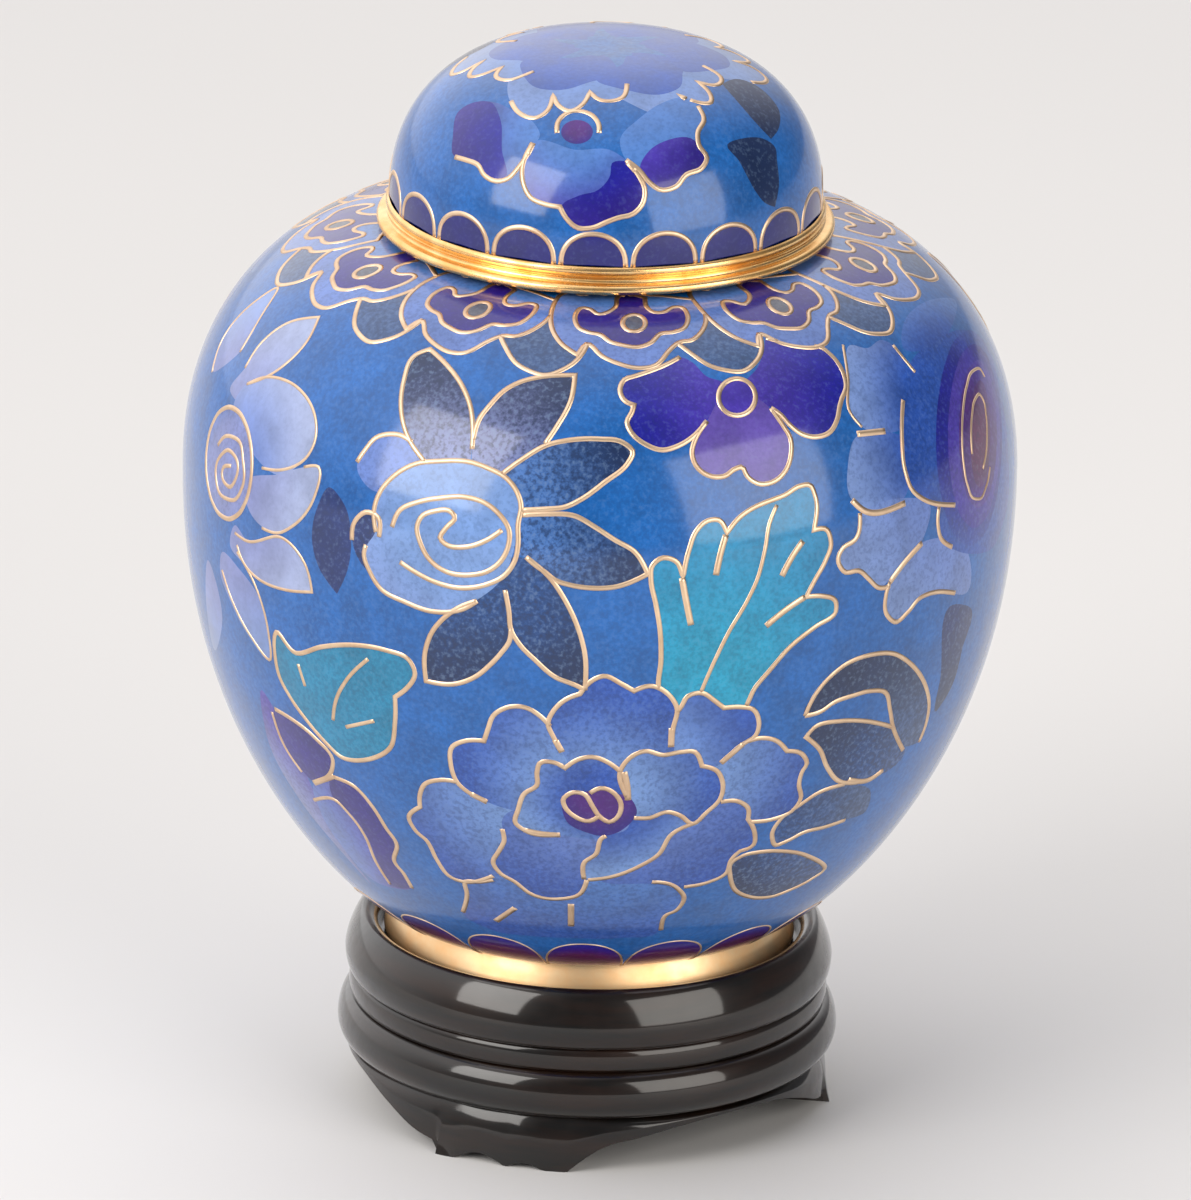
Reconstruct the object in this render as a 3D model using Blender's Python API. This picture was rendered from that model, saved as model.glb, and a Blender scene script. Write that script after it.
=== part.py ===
"""Miniature cloisonne urn: an enamelled ginger jar with a domed lid, gilt brass rings and a turned
wooden stand on three carved feet.

Units are metres, +Z is up and the origin lies under the stand, on the axis, where the feet touch down.
Every piece is turned about the Z axis. Each size is named once, and each piece takes its place from
the piece below it.
"""

import math

import bmesh
import bpy

# Clearances
SEAT_GAP = 0.0003            # between a piece and the one that carries it
RECESS_CLEARANCE = 0.0004    # round the foot ring in the stand's recess
NECK_CLEARANCE = 0.0005      # between the neck and the inside of the lid

# Stand, in bands from the floor up
SKIRT_HEIGHT = 0.0042
TORUS_BAND = 0.0049
BEAD_BAND = 0.0021
LIP_BAND = 0.0038
RECESS_DEPTH = 0.0018
LIP_WIDTH = 0.00265          # from the recess out to the widest part of the lip
LIP_CREST = 0.00125          # from the recess out to where the lip is highest
LIP_DROP = 0.0027            # from the crest down to the widest part
UPPER_GROOVE_DEPTH = 0.0005  # inside the lip's widest part, as the five sizes below
BEAD_INSET = 0.0003
LOWER_GROOVE_DEPTH = 0.0006
SKIRT_INSET = 0.0003
STAND_WALL = 0.0048
TORUS_PROJECTION = 0.0005    # beyond the lip's widest part
TORUS_DROP = 0.0029          # from the lower groove down to the torus's widest part
BOARD_THICKNESS = 0.0042     # the board under the recess

# Feet
FOOT_COUNT = 3
FOOT_BEARING = -21.5         # degrees round from -Y towards +X, to the first foot's middle
PAD_ANGLE = 3.75             # flat under a foot's middle
SCALLOP_ANGLE = 15.0         # width of each of the two hollows beside the pad
SCALLOP_HEIGHT = 0.0007
ARCH_RISE_ANGLE = 27.0       # over which an arch climbs from the foot to its full height
ARCH_CROWN = 0.0009          # what is left of the skirt above an arch
TOE_FLARE = 0.0014           # how far the foot of the skirt reaches out

# Foot ring
FOOT_RADIUS = 0.0163
FOOT_RING_HEIGHT = 0.0026
FOOT_RING_WALL = 0.0014
RING_ROUND = 0.0002          # bevel of the ring's outer edges

# Vessel
BELLY_RADIUS = 0.0329
BELLY_RISE = 0.0363          # from the vessel's underside to its widest point
SHOULDER_RISE = 0.0196       # from the widest point to the root of the neck
VESSEL_WALL = 0.0018
NECK_RADIUS = 0.0151
NECK_HEIGHT = 0.0040
NECK_WALL = 0.0014
LOWER_POWERS = (2.16, 1.24)  # of the curve from belly to foot, along the axis and across it
UPPER_POWERS = (2.12, 2.20)  # of the curve from belly to neck

# Lid
RIM_HEIGHT = 0.0018
RIM_FLARE = 0.00095          # the rim's lip beyond the dome
RIM_BEAD = 0.0002            # the rim's upper bead beyond the dome
LID_WALL = 0.00145
DOME_HEIGHT = 0.0125
DOME_POWERS = (2.26, 2.84)

# Fineness of the mesh
VESSEL_STEPS = 48
STAND_STEPS = 96
OUTER_RINGS = 8
INNER_RINGS = 5

# Heights, from the floor up
lower_groove_height = SKIRT_HEIGHT + TORUS_BAND
upper_groove_height = lower_groove_height + BEAD_BAND
stand_height = upper_groove_height + LIP_BAND
recess_floor = stand_height - RECESS_DEPTH
foot_ring_base = recess_floor + SEAT_GAP
foot_ring_top = foot_ring_base + FOOT_RING_HEIGHT
vessel_base = foot_ring_top + SEAT_GAP
belly_height = vessel_base + BELLY_RISE
neck_root = belly_height + SHOULDER_RISE
neck_top = neck_root + NECK_HEIGHT
rim_base = neck_root + SEAT_GAP
rim_top = rim_base + RIM_HEIGHT
dome_base = rim_top + SEAT_GAP

# Radii that follow from a fit
recess_radius = FOOT_RADIUS + RECESS_CLEARANCE
lip_radius = recess_radius + LIP_WIDTH
skirt_radius = lip_radius - SKIRT_INSET
skirt_bore = skirt_radius - STAND_WALL
lid_bore = NECK_RADIUS + NECK_CLEARANCE
lid_radius = lid_bore + LID_WALL


def curve_points(inner, outer, wide_height, end_height, powers, count):
    """Points (radius, height) along a superellipse quarter, from its widest level to its end.

    The radius falls from outer to inner as the height goes to the end level, above or below.
    """
    along, across = powers
    points = []
    for step in range(count + 1):
        turn = 0.5 * math.pi * step / count
        height_share = math.sin(turn) ** (2 / along)
        radius_share = max(math.cos(turn), 0.0) ** (2 / across)
        radius = inner + (outer - inner) * radius_share
        points.append((radius, wide_height + (end_height - wide_height) * height_share))
    return points


def arc_points(centre, radii, start, end, count):
    """Points on an elliptic arc of the section, with angles in degrees up from the outward direction."""
    points = []
    for step in range(count + 1):
        angle = math.radians(start + (end - start) * step / count)
        points.append((centre[0] + radii[0] * math.cos(angle), centre[1] + radii[1] * math.sin(angle)))
    return points


def turn_profile(points, steps, is_ring, first_bearing=90.0):
    """Turns a section of (radius, height) points about Z. A ring's section closes on itself."""
    bearing = math.radians(first_bearing)
    mesh = bmesh.new()
    verts = []
    for radius, height in points:
        verts.append(mesh.verts.new((radius * math.sin(bearing), -radius * math.cos(bearing), height)))
    edges = [mesh.edges.new(pair) for pair in zip(verts[:-1], verts[1:])]
    if is_ring:
        edges.append(mesh.edges.new((verts[-1], verts[0])))
    bmesh.ops.spin(
        mesh,
        geom=verts + edges,
        cent=(0.0, 0.0, 0.0),
        axis=(0.0, 0.0, 1.0),
        angle=2 * math.pi,
        steps=steps,
        use_merge=True,
    )
    bmesh.ops.remove_doubles(mesh, verts=mesh.verts, dist=1e-6)
    bmesh.ops.recalc_face_normals(mesh, faces=mesh.faces)
    return mesh


def make_material(name, colour, roughness, metallic):
    made = bpy.data.materials.new(name)
    made.use_nodes = True
    shader = made.node_tree.nodes["Principled BSDF"]
    shader.inputs["Base Color"].default_value = (*colour, 1.0)
    shader.inputs["Roughness"].default_value = roughness
    shader.inputs["Metallic"].default_value = metallic
    return made


def add_piece(name, mesh, finish, parent):
    """Makes the named object from a bmesh, with its round sides shaded smooth."""
    data = bpy.data.meshes.new(name)
    mesh.to_mesh(data)
    mesh.free()
    data.materials.append(finish)
    data.shade_smooth()
    data.set_sharp_from_angle(angle=math.radians(35))
    piece = bpy.data.objects.new(name, data)
    bpy.context.scene.collection.objects.link(piece)
    piece.parent = parent
    return piece


def skirt_edge(bearing):
    """Height of the skirt's lower edge at a bearing in degrees.

    Each foot is a flat pad between two scallops, and an arch rises steeply beside it, then levels off.
    """
    pitch = 360.0 / FOOT_COUNT
    from_middle = abs((bearing - FOOT_BEARING + pitch / 2) % pitch - pitch / 2)
    from_pad = from_middle - PAD_ANGLE / 2
    if from_pad <= 0.0:
        return 0.0
    if from_pad <= SCALLOP_ANGLE:
        return SCALLOP_HEIGHT * math.sin(math.pi * from_pad / SCALLOP_ANGLE)
    climb = min((from_pad - SCALLOP_ANGLE) / ARCH_RISE_ANGLE, 1.0)
    return (SKIRT_HEIGHT - ARCH_CROWN) * math.sin(0.5 * math.pi * climb) ** 0.7


def skirt_face(height):
    """Radius of the skirt's outer face, which curves out to the toes near the floor."""
    drop = 1.0 - height / SKIRT_HEIGHT
    return skirt_radius + TOE_FLARE * drop ** 2.2


def stand_section():
    """The stand's section: recess, rounded lip, groove, bead, groove, torus, skirt and hollow underside."""
    crest = recess_radius + LIP_CREST
    widest = stand_height - LIP_DROP
    upper_groove = lip_radius - UPPER_GROOVE_DEPTH
    lower_groove = lip_radius - LOWER_GROOVE_DEPTH
    bead = lip_radius - BEAD_INSET
    bead_height = (lower_groove_height + upper_groove_height) / 2
    torus = lip_radius + TORUS_PROJECTION
    torus_height = lower_groove_height - TORUS_DROP
    points = [(0.0, recess_floor), (recess_radius, recess_floor)]
    points += arc_points((crest, stand_height - LIP_CREST), (LIP_CREST, LIP_CREST), 180, 90, 3)
    points += arc_points((crest, widest), (lip_radius - crest, LIP_DROP), 68, 0, 3)
    points += [(lip_radius - 0.3 * UPPER_GROOVE_DEPTH, (widest + 2 * upper_groove_height) / 3)]
    points += [(upper_groove, upper_groove_height)]
    points += [(bead, bead_height + 0.2 * BEAD_BAND), (bead, bead_height - 0.2 * BEAD_BAND)]
    points += arc_points((lower_groove, torus_height), (torus - lower_groove, TORUS_DROP), 90, 0, 3)
    points += arc_points((skirt_radius, torus_height), (torus - skirt_radius, torus_height - SKIRT_HEIGHT),
                         -45, -90, 1)
    for drop in (0.55, 1.0):
        points.append((skirt_radius, SKIRT_HEIGHT * (1.0 - drop)))
    board_underside = recess_floor - BOARD_THICKNESS
    points += [(skirt_bore, 0.0), (skirt_bore, board_underside), (0.0, board_underside)]
    return points


def make_stand(parent):
    """Turns the stand, then draws its skirt down into feet and up into arches."""
    half_step = 180.0 / STAND_STEPS
    mesh = turn_profile(stand_section(), STAND_STEPS, False, FOOT_BEARING + half_step)
    middle = (skirt_radius + skirt_bore) / 2
    for vert in mesh.verts:
        if vert.co.z >= SKIRT_HEIGHT - 1e-6:
            continue
        bearing = math.degrees(math.atan2(vert.co.x, -vert.co.y))
        drop = 1.0 - vert.co.z / SKIRT_HEIGHT
        height = SKIRT_HEIGHT - drop * (SKIRT_HEIGHT - skirt_edge(bearing))
        radius = math.hypot(vert.co.x, vert.co.y)
        wanted = skirt_face(height) if radius > middle else radius
        vert.co.x *= wanted / radius
        vert.co.y *= wanted / radius
        vert.co.z = height
    bmesh.ops.recalc_face_normals(mesh, faces=mesh.faces)
    finish = make_material("dark_lacquered_wood", (0.018, 0.012, 0.009), 0.16, 0.0)
    return add_piece("stand", mesh, finish, parent)


def make_foot_ring(finish, parent):
    """The brass ring that the vessel stands on, seated in the stand's recess."""
    inside = FOOT_RADIUS - FOOT_RING_WALL
    points = [
        (inside, foot_ring_base),
        (FOOT_RADIUS - RING_ROUND, foot_ring_base),
        (FOOT_RADIUS, foot_ring_base + RING_ROUND),
        (FOOT_RADIUS, foot_ring_top - RING_ROUND),
        (FOOT_RADIUS - RING_ROUND, foot_ring_top),
        (inside, foot_ring_top),
    ]
    return add_piece("foot_ring", turn_profile(points, VESSEL_STEPS, True), finish, parent)


def make_vessel(finish, parent):
    """The hollow vessel: its underside, belly, shoulder and neck, then the cavity from neck to floor."""
    belly_to_foot = curve_points(FOOT_RADIUS, BELLY_RADIUS, belly_height, vessel_base,
                                 LOWER_POWERS, OUTER_RINGS)
    belly_to_neck = curve_points(NECK_RADIUS, BELLY_RADIUS, belly_height, neck_root,
                                 UPPER_POWERS, OUTER_RINGS)
    neck_bore = NECK_RADIUS - NECK_WALL
    inner_belly = BELLY_RADIUS - VESSEL_WALL
    floor_height = vessel_base + VESSEL_WALL
    cavity_to_neck = curve_points(neck_bore, inner_belly, belly_height, neck_root - VESSEL_WALL,
                                  UPPER_POWERS, INNER_RINGS)
    cavity_to_floor = curve_points(FOOT_RADIUS, inner_belly, belly_height, floor_height,
                                   LOWER_POWERS, INNER_RINGS)
    points = [(0.0, vessel_base)]
    points += belly_to_foot[::-1]
    points += belly_to_neck[1:]
    points += [(NECK_RADIUS, neck_top), (neck_bore, neck_top)]
    points += cavity_to_neck[::-1]
    points += cavity_to_floor[1:]
    points += [(0.0, floor_height)]
    return add_piece("urn_body", turn_profile(points, VESSEL_STEPS, False), finish, parent)


def make_lid_rim(finish, parent):
    """The brass band round the lid's mouth: a flared lip, a cove and an upper bead."""
    lip = lid_radius + RIM_FLARE
    points = [
        (lid_bore, rim_base),
        (lip - RIM_HEIGHT * 0.08, rim_base),
        (lip, rim_base + RIM_HEIGHT * 0.22),
        (lid_radius + RIM_FLARE * 0.4, rim_base + RIM_HEIGHT * 0.42),
        (lid_radius, rim_base + RIM_HEIGHT * 0.66),
        (lid_radius + RIM_BEAD, rim_base + RIM_HEIGHT * 0.84),
        (lid_radius, rim_top),
        (lid_bore, rim_top),
    ]
    return add_piece("lid_rim", turn_profile(points, VESSEL_STEPS, True), finish, parent)


def make_lid(finish, parent):
    """The hollow dome that stands on the rim."""
    dome_top = dome_base + DOME_HEIGHT
    outside = curve_points(0.0, lid_radius, dome_base, dome_top, DOME_POWERS, OUTER_RINGS)
    inside = curve_points(0.0, lid_bore, dome_base, dome_top - LID_WALL, DOME_POWERS, INNER_RINGS)
    mesh = turn_profile(inside[::-1] + outside, VESSEL_STEPS, False)
    return add_piece("lid", mesh, finish, parent)


def main():
    for old in list(bpy.data.objects):
        bpy.data.objects.remove(old)
    urn = bpy.data.objects.new("urn", None)
    bpy.context.scene.collection.objects.link(urn)
    enamel = make_material("blue_enamel", (0.03, 0.13, 0.52), 0.12, 0.0)
    brass = make_material("gilt_brass", (0.86, 0.58, 0.25), 0.22, 1.0)
    make_stand(urn)
    make_foot_ring(brass, urn)
    make_vessel(enamel, urn)
    make_lid_rim(brass, urn)
    make_lid(enamel, urn)


main()
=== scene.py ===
import bpy
import numpy as np
from mathutils import Matrix, Vector
from mathutils.geometry import delaunay_2d_cdt


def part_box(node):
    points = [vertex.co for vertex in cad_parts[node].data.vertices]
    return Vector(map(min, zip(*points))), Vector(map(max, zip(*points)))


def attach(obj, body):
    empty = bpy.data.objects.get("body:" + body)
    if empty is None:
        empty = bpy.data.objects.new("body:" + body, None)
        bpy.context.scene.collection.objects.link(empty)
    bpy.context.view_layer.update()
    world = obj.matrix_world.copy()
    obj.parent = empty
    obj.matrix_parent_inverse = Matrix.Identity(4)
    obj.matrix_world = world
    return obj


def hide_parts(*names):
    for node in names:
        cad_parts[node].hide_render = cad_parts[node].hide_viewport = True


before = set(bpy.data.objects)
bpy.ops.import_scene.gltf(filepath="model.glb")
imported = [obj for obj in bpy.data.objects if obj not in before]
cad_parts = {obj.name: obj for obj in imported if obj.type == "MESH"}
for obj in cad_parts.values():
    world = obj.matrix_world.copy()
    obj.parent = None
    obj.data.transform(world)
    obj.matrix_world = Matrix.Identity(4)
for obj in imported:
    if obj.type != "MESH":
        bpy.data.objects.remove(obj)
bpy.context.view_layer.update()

metresPerMm = 0.001
fullTurn = 2 * np.pi


# Lowest and highest level of a CAD node and its greatest radius, in millimetres.
def nodeSizes(node):
    low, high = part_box(node)
    return low.z / metresPerMm, high.z / metresPerMm, high.x / metresPerMm


# The camera, measured from the photograph: focal length and aim are in its pixels, the rest in
# millimetres and degrees.
shot = {
    "tilt": 19.3,
    "roll": 1.35,
    "distance": 1500.0,
    "focal": 19020.0,
    "aimHeight": 51.6,
    "aimPixel": (599.65, 475.16),
    "pictureSize": (1191, 1200),
    "sensor": 36.0,
}
tilt = np.radians(shot["tilt"])
roll = np.radians(shot["roll"])
aimPoint = np.array([0.0, 0.0, shot["aimHeight"]])
aimPixel = np.array(shot["aimPixel"])
viewRight = np.array([1.0, 0.0, 0.0])
viewUp = np.array([0.0, np.sin(tilt), np.cos(tilt)])
viewBack = np.array([0.0, -np.cos(tilt), np.sin(tilt)])

# Colours as they look in the photograph, red, green and blue out of 255.
paints = {
    "ground": (40, 104, 178),
    "purple": (58, 26, 132),
    "violet": (46, 22, 116),
    "plum": (84, 26, 124),
    "indigo": (46, 44, 150),
    "iris": (80, 66, 168),
    "deepBlue": (56, 90, 176),
    "skyBlue": (86, 128, 198),
    "petalBlue": (120, 154, 212),
    "periwinkle": (104, 130, 198),
    "paleBlue": (124, 150, 206),
    "lilac": (100, 84, 168),
    "lavender": (126, 136, 190),
    "slate": (32, 60, 92),
    "slateLight": (40, 84, 144),
    "night": (26, 62, 114),
    "teal": (0, 132, 172),
    "turquoise": (0, 138, 190),
    "aqua": (44, 158, 196),
    "greyBlue": (68, 92, 136),
    "olive": (96, 98, 110),
    "wine": (96, 28, 88),
    "white": (160, 172, 208),
    "inside": (28, 78, 146),
}


# Screen colour to the paint under the glaze: the share of full light to the power 2.2, less the
# reflection that lies over it, divided by the light that falls on it.
def linearPaint(name):
    glazeGlow, falling, darkest = 0.022, 1.12, 0.003
    look = np.power(np.array(paints[name]) / 255.0, 2.2)
    return np.maximum((look - glazeGlow) / falling, darkest)


# A skin is a profile turned about the axis, with a flat plan of it that keeps shapes and angles: a
# point's distance from the plan's centre is exp of minus the sum of step / radius up the profile.
def makeSkin(radii, heights):
    steps = np.hypot(np.diff(radii), np.diff(heights))
    middles = (radii[1:] + radii[:-1]) / 2
    rises = np.concatenate([[0.0], np.cumsum(steps / middles)])
    lengths = np.concatenate([[0.0], np.cumsum(steps)])
    spreads = np.exp(-rises)
    if radii[-1] == 0.0:
        spreads[-1] = 0.0
    slopes = np.stack([np.gradient(heights, lengths), -np.gradient(radii, lengths)])
    slopes = slopes / np.hypot(*slopes)
    return {"radii": radii, "heights": heights, "spreads": spreads, "outward": slopes[0],
            "upward": slopes[1]}


# A superellipse quarter from the widest level to the end: the height share is sin(t) ^ (2 / along)
# and the radius share is cos(t) ^ (2 / across).
def quarterCurve(inner, outer, wideLevel, endLevel, powers, count):
    turn = np.linspace(0.0, 0.5 * np.pi, count)
    along, across = powers
    radii = inner + (outer - inner) * np.clip(np.cos(turn), 0.0, 1.0) ** (2 / across)
    heights = wideLevel + (endLevel - wideLevel) * np.sin(turn) ** (2 / along)
    radii[-1] = inner
    return radii, heights


# Values of a skin's table at plan points, by their distance from the plan's centre.
def skinValue(skin, name, spread):
    return np.interp(spread, skin["spreads"][::-1], skin[name][::-1])


# Plan points to points of the skin and its outward directions there.
def planToSkin(plan, skin):
    spread = np.hypot(plan[:, 0], plan[:, 1])
    safe = np.maximum(spread, 1e-9)
    ways = plan / safe[:, None]
    radii = skinValue(skin, "radii", spread)
    points = np.column_stack([ways * radii[:, None], skinValue(skin, "heights", spread)])
    outward = skinValue(skin, "outward", spread)
    normals = np.column_stack([ways * outward[:, None], skinValue(skin, "upward", spread)])
    return points, normals / np.linalg.norm(normals, axis=1)[:, None]


# Where the line of sight of each pixel first meets the skin, as plan points. The line is walked
# from the near side in even steps, and the crossing is found between the last two. A line that
# misses takes the point where it passes closest.
def pixelsToPlan(pixels, skin):
    walkFrom, walkTo, walkSteps = 50.0, -45.0, 500
    shift = np.asarray(pixels, float) - aimPixel
    right = shift[:, 0] * np.cos(roll) + shift[:, 1] * np.sin(roll)
    down = -shift[:, 0] * np.sin(roll) + shift[:, 1] * np.cos(roll)
    near = np.linspace(walkFrom, walkTo, walkSteps)
    reach = (shot["distance"] - near) / shot["focal"]
    spots = (aimPoint + (right[:, None] * reach)[..., None] * viewRight
             - (down[:, None] * reach)[..., None] * viewUp + near[:, None] * viewBack)
    upHeights = skin["heights"]
    radii = np.interp(spots[..., 2], upHeights, skin["radii"], left=0.0, right=0.0)
    outside = np.hypot(spots[..., 0], spots[..., 1]) - radii
    inside = outside < 0
    first = np.argmax(inside, axis=1)
    missed = ~inside.any(axis=1)
    first = np.where(missed, np.argmin(outside, axis=1), np.maximum(first, 1))
    rows = np.arange(len(first))
    before = outside[rows, first - 1]
    after = outside[rows, first]
    share = np.where(missed, 1.0, before / np.maximum(before - after, 1e-9))
    met = spots[rows, first - 1] * (1 - share[:, None]) + spots[rows, first] * share[:, None]
    spread = np.interp(met[:, 2], upHeights, skin["spreads"])
    across = np.maximum(np.hypot(met[:, 0], met[:, 1]), 1e-9)
    return met[:, :2] / across[:, None] * spread[:, None]


# Bearings from -Y towards +X, in degrees, and levels in millimetres to plan points.
def bearingsToPlan(bearings, levels, skin):
    spread = np.interp(levels, skin["heights"], skin["spreads"])
    angle = np.radians(bearings)
    return np.column_stack([np.sin(angle) * spread, -np.cos(angle) * spread])


# A drawn line: smooth through its points, with a corner at a point that is given twice.
# Between two points it is a cubic whose end slopes come from the neighbours, weighted by distance.
def smoothLine(points, closed):
    cubicSteps = 14
    points = np.asarray(points, float)
    same = np.all(points[1:] == points[:-1], axis=1)
    corners = np.flatnonzero(same)
    if closed and len(corners) == 0:
        overlap = 3
        around = np.concatenate([points[-overlap:], points, points[:overlap + 1]])
        line, marks = cubicThrough(around, cubicSteps)
        start = overlap * cubicSteps
        return line[start:start + len(points) * cubicSteps + 1], [0, len(points) * cubicSteps]
    if closed and corners[0] > 0:
        points = np.concatenate([points[corners[0] + 1:], points[:corners[0] + 1]])
        corners = np.flatnonzero(np.all(points[1:] == points[:-1], axis=1))
    if closed:
        points = np.concatenate([points, points[:1]])
    bounds = [0, *[c + 1 for c in corners], len(points)]
    lines, marks = [], [0]
    for low, high in zip(bounds[:-1], bounds[1:]):
        part, _ = cubicThrough(points[low:high], cubicSteps)
        lines.append(part if not lines else part[1:])
        marks.append(marks[-1] + len(part) - 1)
    return np.concatenate(lines), marks


# The cubics through one run of points without corners.
def cubicThrough(points, steps):
    if len(points) == 2:
        share = np.linspace(0.0, 1.0, steps + 1)[:, None]
        return points[0] * (1 - share) + points[1] * share, None
    gaps = np.maximum(np.linalg.norm(np.diff(points, axis=0), axis=1), 1e-6)[:, None]
    pitches = np.diff(points, axis=0) / gaps
    inner = (pitches[:-1] * gaps[1:] + pitches[1:] * gaps[:-1]) / (gaps[:-1] + gaps[1:])
    first = 1.5 * pitches[:1] - 0.5 * inner[:1]
    last = 1.5 * pitches[-1:] - 0.5 * inner[-1:]
    slopes = np.concatenate([first, inner, last])
    u = np.linspace(0.0, 1.0, steps, endpoint=False)[None, :, None]
    start, end = points[:-1, None], points[1:, None]
    leave, arrive = slopes[:-1, None] * gaps[:, None], slopes[1:, None] * gaps[:, None]
    body = ((2 * u**3 - 3 * u**2 + 1) * start + (u**3 - 2 * u**2 + u) * leave
            + (3 * u**2 - 2 * u**3) * end + (u**3 - u**2) * arrive)
    return np.concatenate([body.reshape(-1, 2), points[-1:]]), None


# A plan line laid out again at even distances on the skin, stretch by stretch between its corners.
def evenLine(plan, marks, skin, gap):
    spread = np.hypot(plan[:, 0], plan[:, 1])
    scale = skinValue(skin, "radii", spread) / np.maximum(spread, 1e-9)
    steps = np.linalg.norm(np.diff(plan, axis=0), axis=1) * (scale[1:] + scale[:-1]) / 2
    lengths = np.concatenate([[0.0], np.cumsum(steps)])
    places = []
    for low, high in zip(marks[:-1], marks[1:]):
        count = max(2, int(np.ceil((lengths[high] - lengths[low]) / gap)))
        places.append(np.linspace(lengths[low], lengths[high], count, endpoint=False))
    places = np.concatenate([*places, [lengths[-1]]])
    return np.column_stack([np.interp(places, lengths, plan[:, 0]),
                            np.interp(places, lengths, plan[:, 1])])


# Turns a plan by an angle in degrees, mirrored first if wanted.
def turnPlan(plan, angle, mirrored=False):
    turned = plan * (np.array([-1.0, 1.0]) if mirrored else 1.0)
    cosine, sine = np.cos(np.radians(angle)), np.sin(np.radians(angle))
    return np.column_stack([turned[:, 0] * cosine - turned[:, 1] * sine,
                            turned[:, 0] * sine + turned[:, 1] * cosine])


# True for the spots inside a closed plan outline: a ray from each crosses it an odd number of times.
def insideOutline(spots, outline):
    low, high = outline.min(axis=0), outline.max(axis=0)
    close = np.flatnonzero(np.all((spots > low) & (spots < high), axis=1))
    found = np.zeros(len(spots), bool)
    if len(close) == 0:
        return found
    x, y = spots[close, 0][:, None], spots[close, 1][:, None]
    ax, ay = outline[:, 0], outline[:, 1]
    bx, by = np.roll(ax, -1), np.roll(ay, -1)
    straddles = (ay > y) != (by > y)
    rise = np.where(by == ay, 1e-12, by - ay)
    crosses = straddles & (x < (bx - ax) * (y - ay) / rise + ax)
    found[close] = crosses.sum(axis=1) % 2 == 1
    return found


lineGap = 0.32


# A drawing collects the cells and wires of one skin, the later ones over the earlier.
def newDrawing(skin):
    return {"skin": skin, "cells": [], "wires": []}


# Puts a wire into the drawing.
def addWire(drawing, plan, closed, width):
    drawing["wires"].append({"plan": plan, "closed": closed, "width": width,
                             "level": len(drawing["cells"])})


# Puts a closed cell into the drawing. Its colour runs from the one near the motif's centre to the
# other at its far edge. Grain is how speckled it is.
def addCell(drawing, plan, centre, near, far, grain, width):
    away = np.linalg.norm(plan - centre, axis=1)
    drawing["cells"].append({"plan": plan, "centre": centre, "from": away.min(), "to": away.max(),
                             "near": linearPaint(near), "far": linearPaint(far), "grain": grain})
    if width > 0:
        addWire(drawing, plan, True, width)


wireWidth = 0.42
veinWidth = 0.34
dimWidth = 0.26
tickWidth = 0.54


# Draws a motif: its lines are given in photograph pixels, lifted onto the skin, then laid down at
# each of the copies, which are turns about the axis in degrees with or without a mirror. A cell is
# a closed line with a wire, a field the same without one, and a wire a line by itself.
def drawMotif(drawing, motif, copies):
    skin = drawing["skin"]
    centre = pixelsToPlan([motif["centre"]], skin)
    for part in motif["parts"]:
        kind, points, *looks = part
        line, marks = smoothLine(points, kind != "wire")
        lifted = evenLine(pixelsToPlan(line, skin), marks, skin, lineGap)
        for angle, mirrored in copies:
            plan = turnPlan(lifted, angle, mirrored)
            if kind == "wire":
                addWire(drawing, plan, False, looks[0] if looks else wireWidth)
            else:
                middle = turnPlan(centre, angle, mirrored)[0]
                addCell(drawing, plan[:-1], middle, *looks, wireWidth if kind == "cell" else 0)


# Points of an ellipse arc in pixels, between two angles in degrees that run from the right upwards.
def arcPixels(x, y, wide, high, start=0, end=360, count=16):
    angle = np.radians(np.linspace(start, end, count, endpoint=end - start < 360))
    return [(x + wide * np.cos(a), y - high * np.sin(a)) for a in angle]


# Half-round scallops standing or hanging along a level: across it goes with cos, and away from the
# level with sin ^ 0.8.
def addScallops(drawing, scallops):
    skin = drawing["skin"]
    pitch = 360.0 / scallops["count"]
    turn = np.linspace(0.0, np.pi, 25)
    for index in range(scallops["count"]):
        middle = scallops["firstBearing"] + (index + 0.5) * pitch
        bearings = middle - 0.5 * scallops["share"] * pitch * np.cos(turn)
        levels = scallops["level"] + scallops["height"] * np.sin(turn) ** 0.8
        plan = bearingsToPlan(bearings, levels, skin)
        plan = evenLine(plan, [0, len(plan) - 1], skin, lineGap)
        centre = bearingsToPlan([middle], [scallops["level"]], skin)[0]
        addCell(drawing, plan, centre, scallops["near"], scallops["far"], 0.2, 0)
        addWire(drawing, plan, False, scallops["width"])


# Wires are hidden where a later cell lies over them, and each visible run becomes its own wire.
def visibleWires(drawing):
    lows = np.array([cell["plan"].min(axis=0) for cell in drawing["cells"]])
    highs = np.array([cell["plan"].max(axis=0) for cell in drawing["cells"]])
    runs = []
    for wire in drawing["wires"]:
        plan, closed = wire["plan"], wire["closed"]
        meets = np.all((lows < plan.max(axis=0)) & (highs > plan.min(axis=0)), axis=1)
        meets[:wire["level"]] = False
        hidden = np.zeros(len(plan), bool)
        for index in np.flatnonzero(meets):
            hidden |= insideOutline(plan, drawing["cells"][index]["plan"])
        if not hidden.any():
            runs.append(wire)
            continue
        shown = ~hidden
        if closed:
            start = int(np.argmax(hidden))
            plan, shown = np.roll(plan, -start, axis=0), np.roll(shown, -start)
        edges = np.flatnonzero(np.diff(np.concatenate([[0], shown.astype(int), [0]])))
        for low, high in zip(edges[::2], edges[1::2]):
            if high - low > 2:
                reach = plan[max(low - 1, 0):min(high + 1, len(plan))]
                runs.append({**wire, "plan": reach, "closed": False})
    return runs


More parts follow.
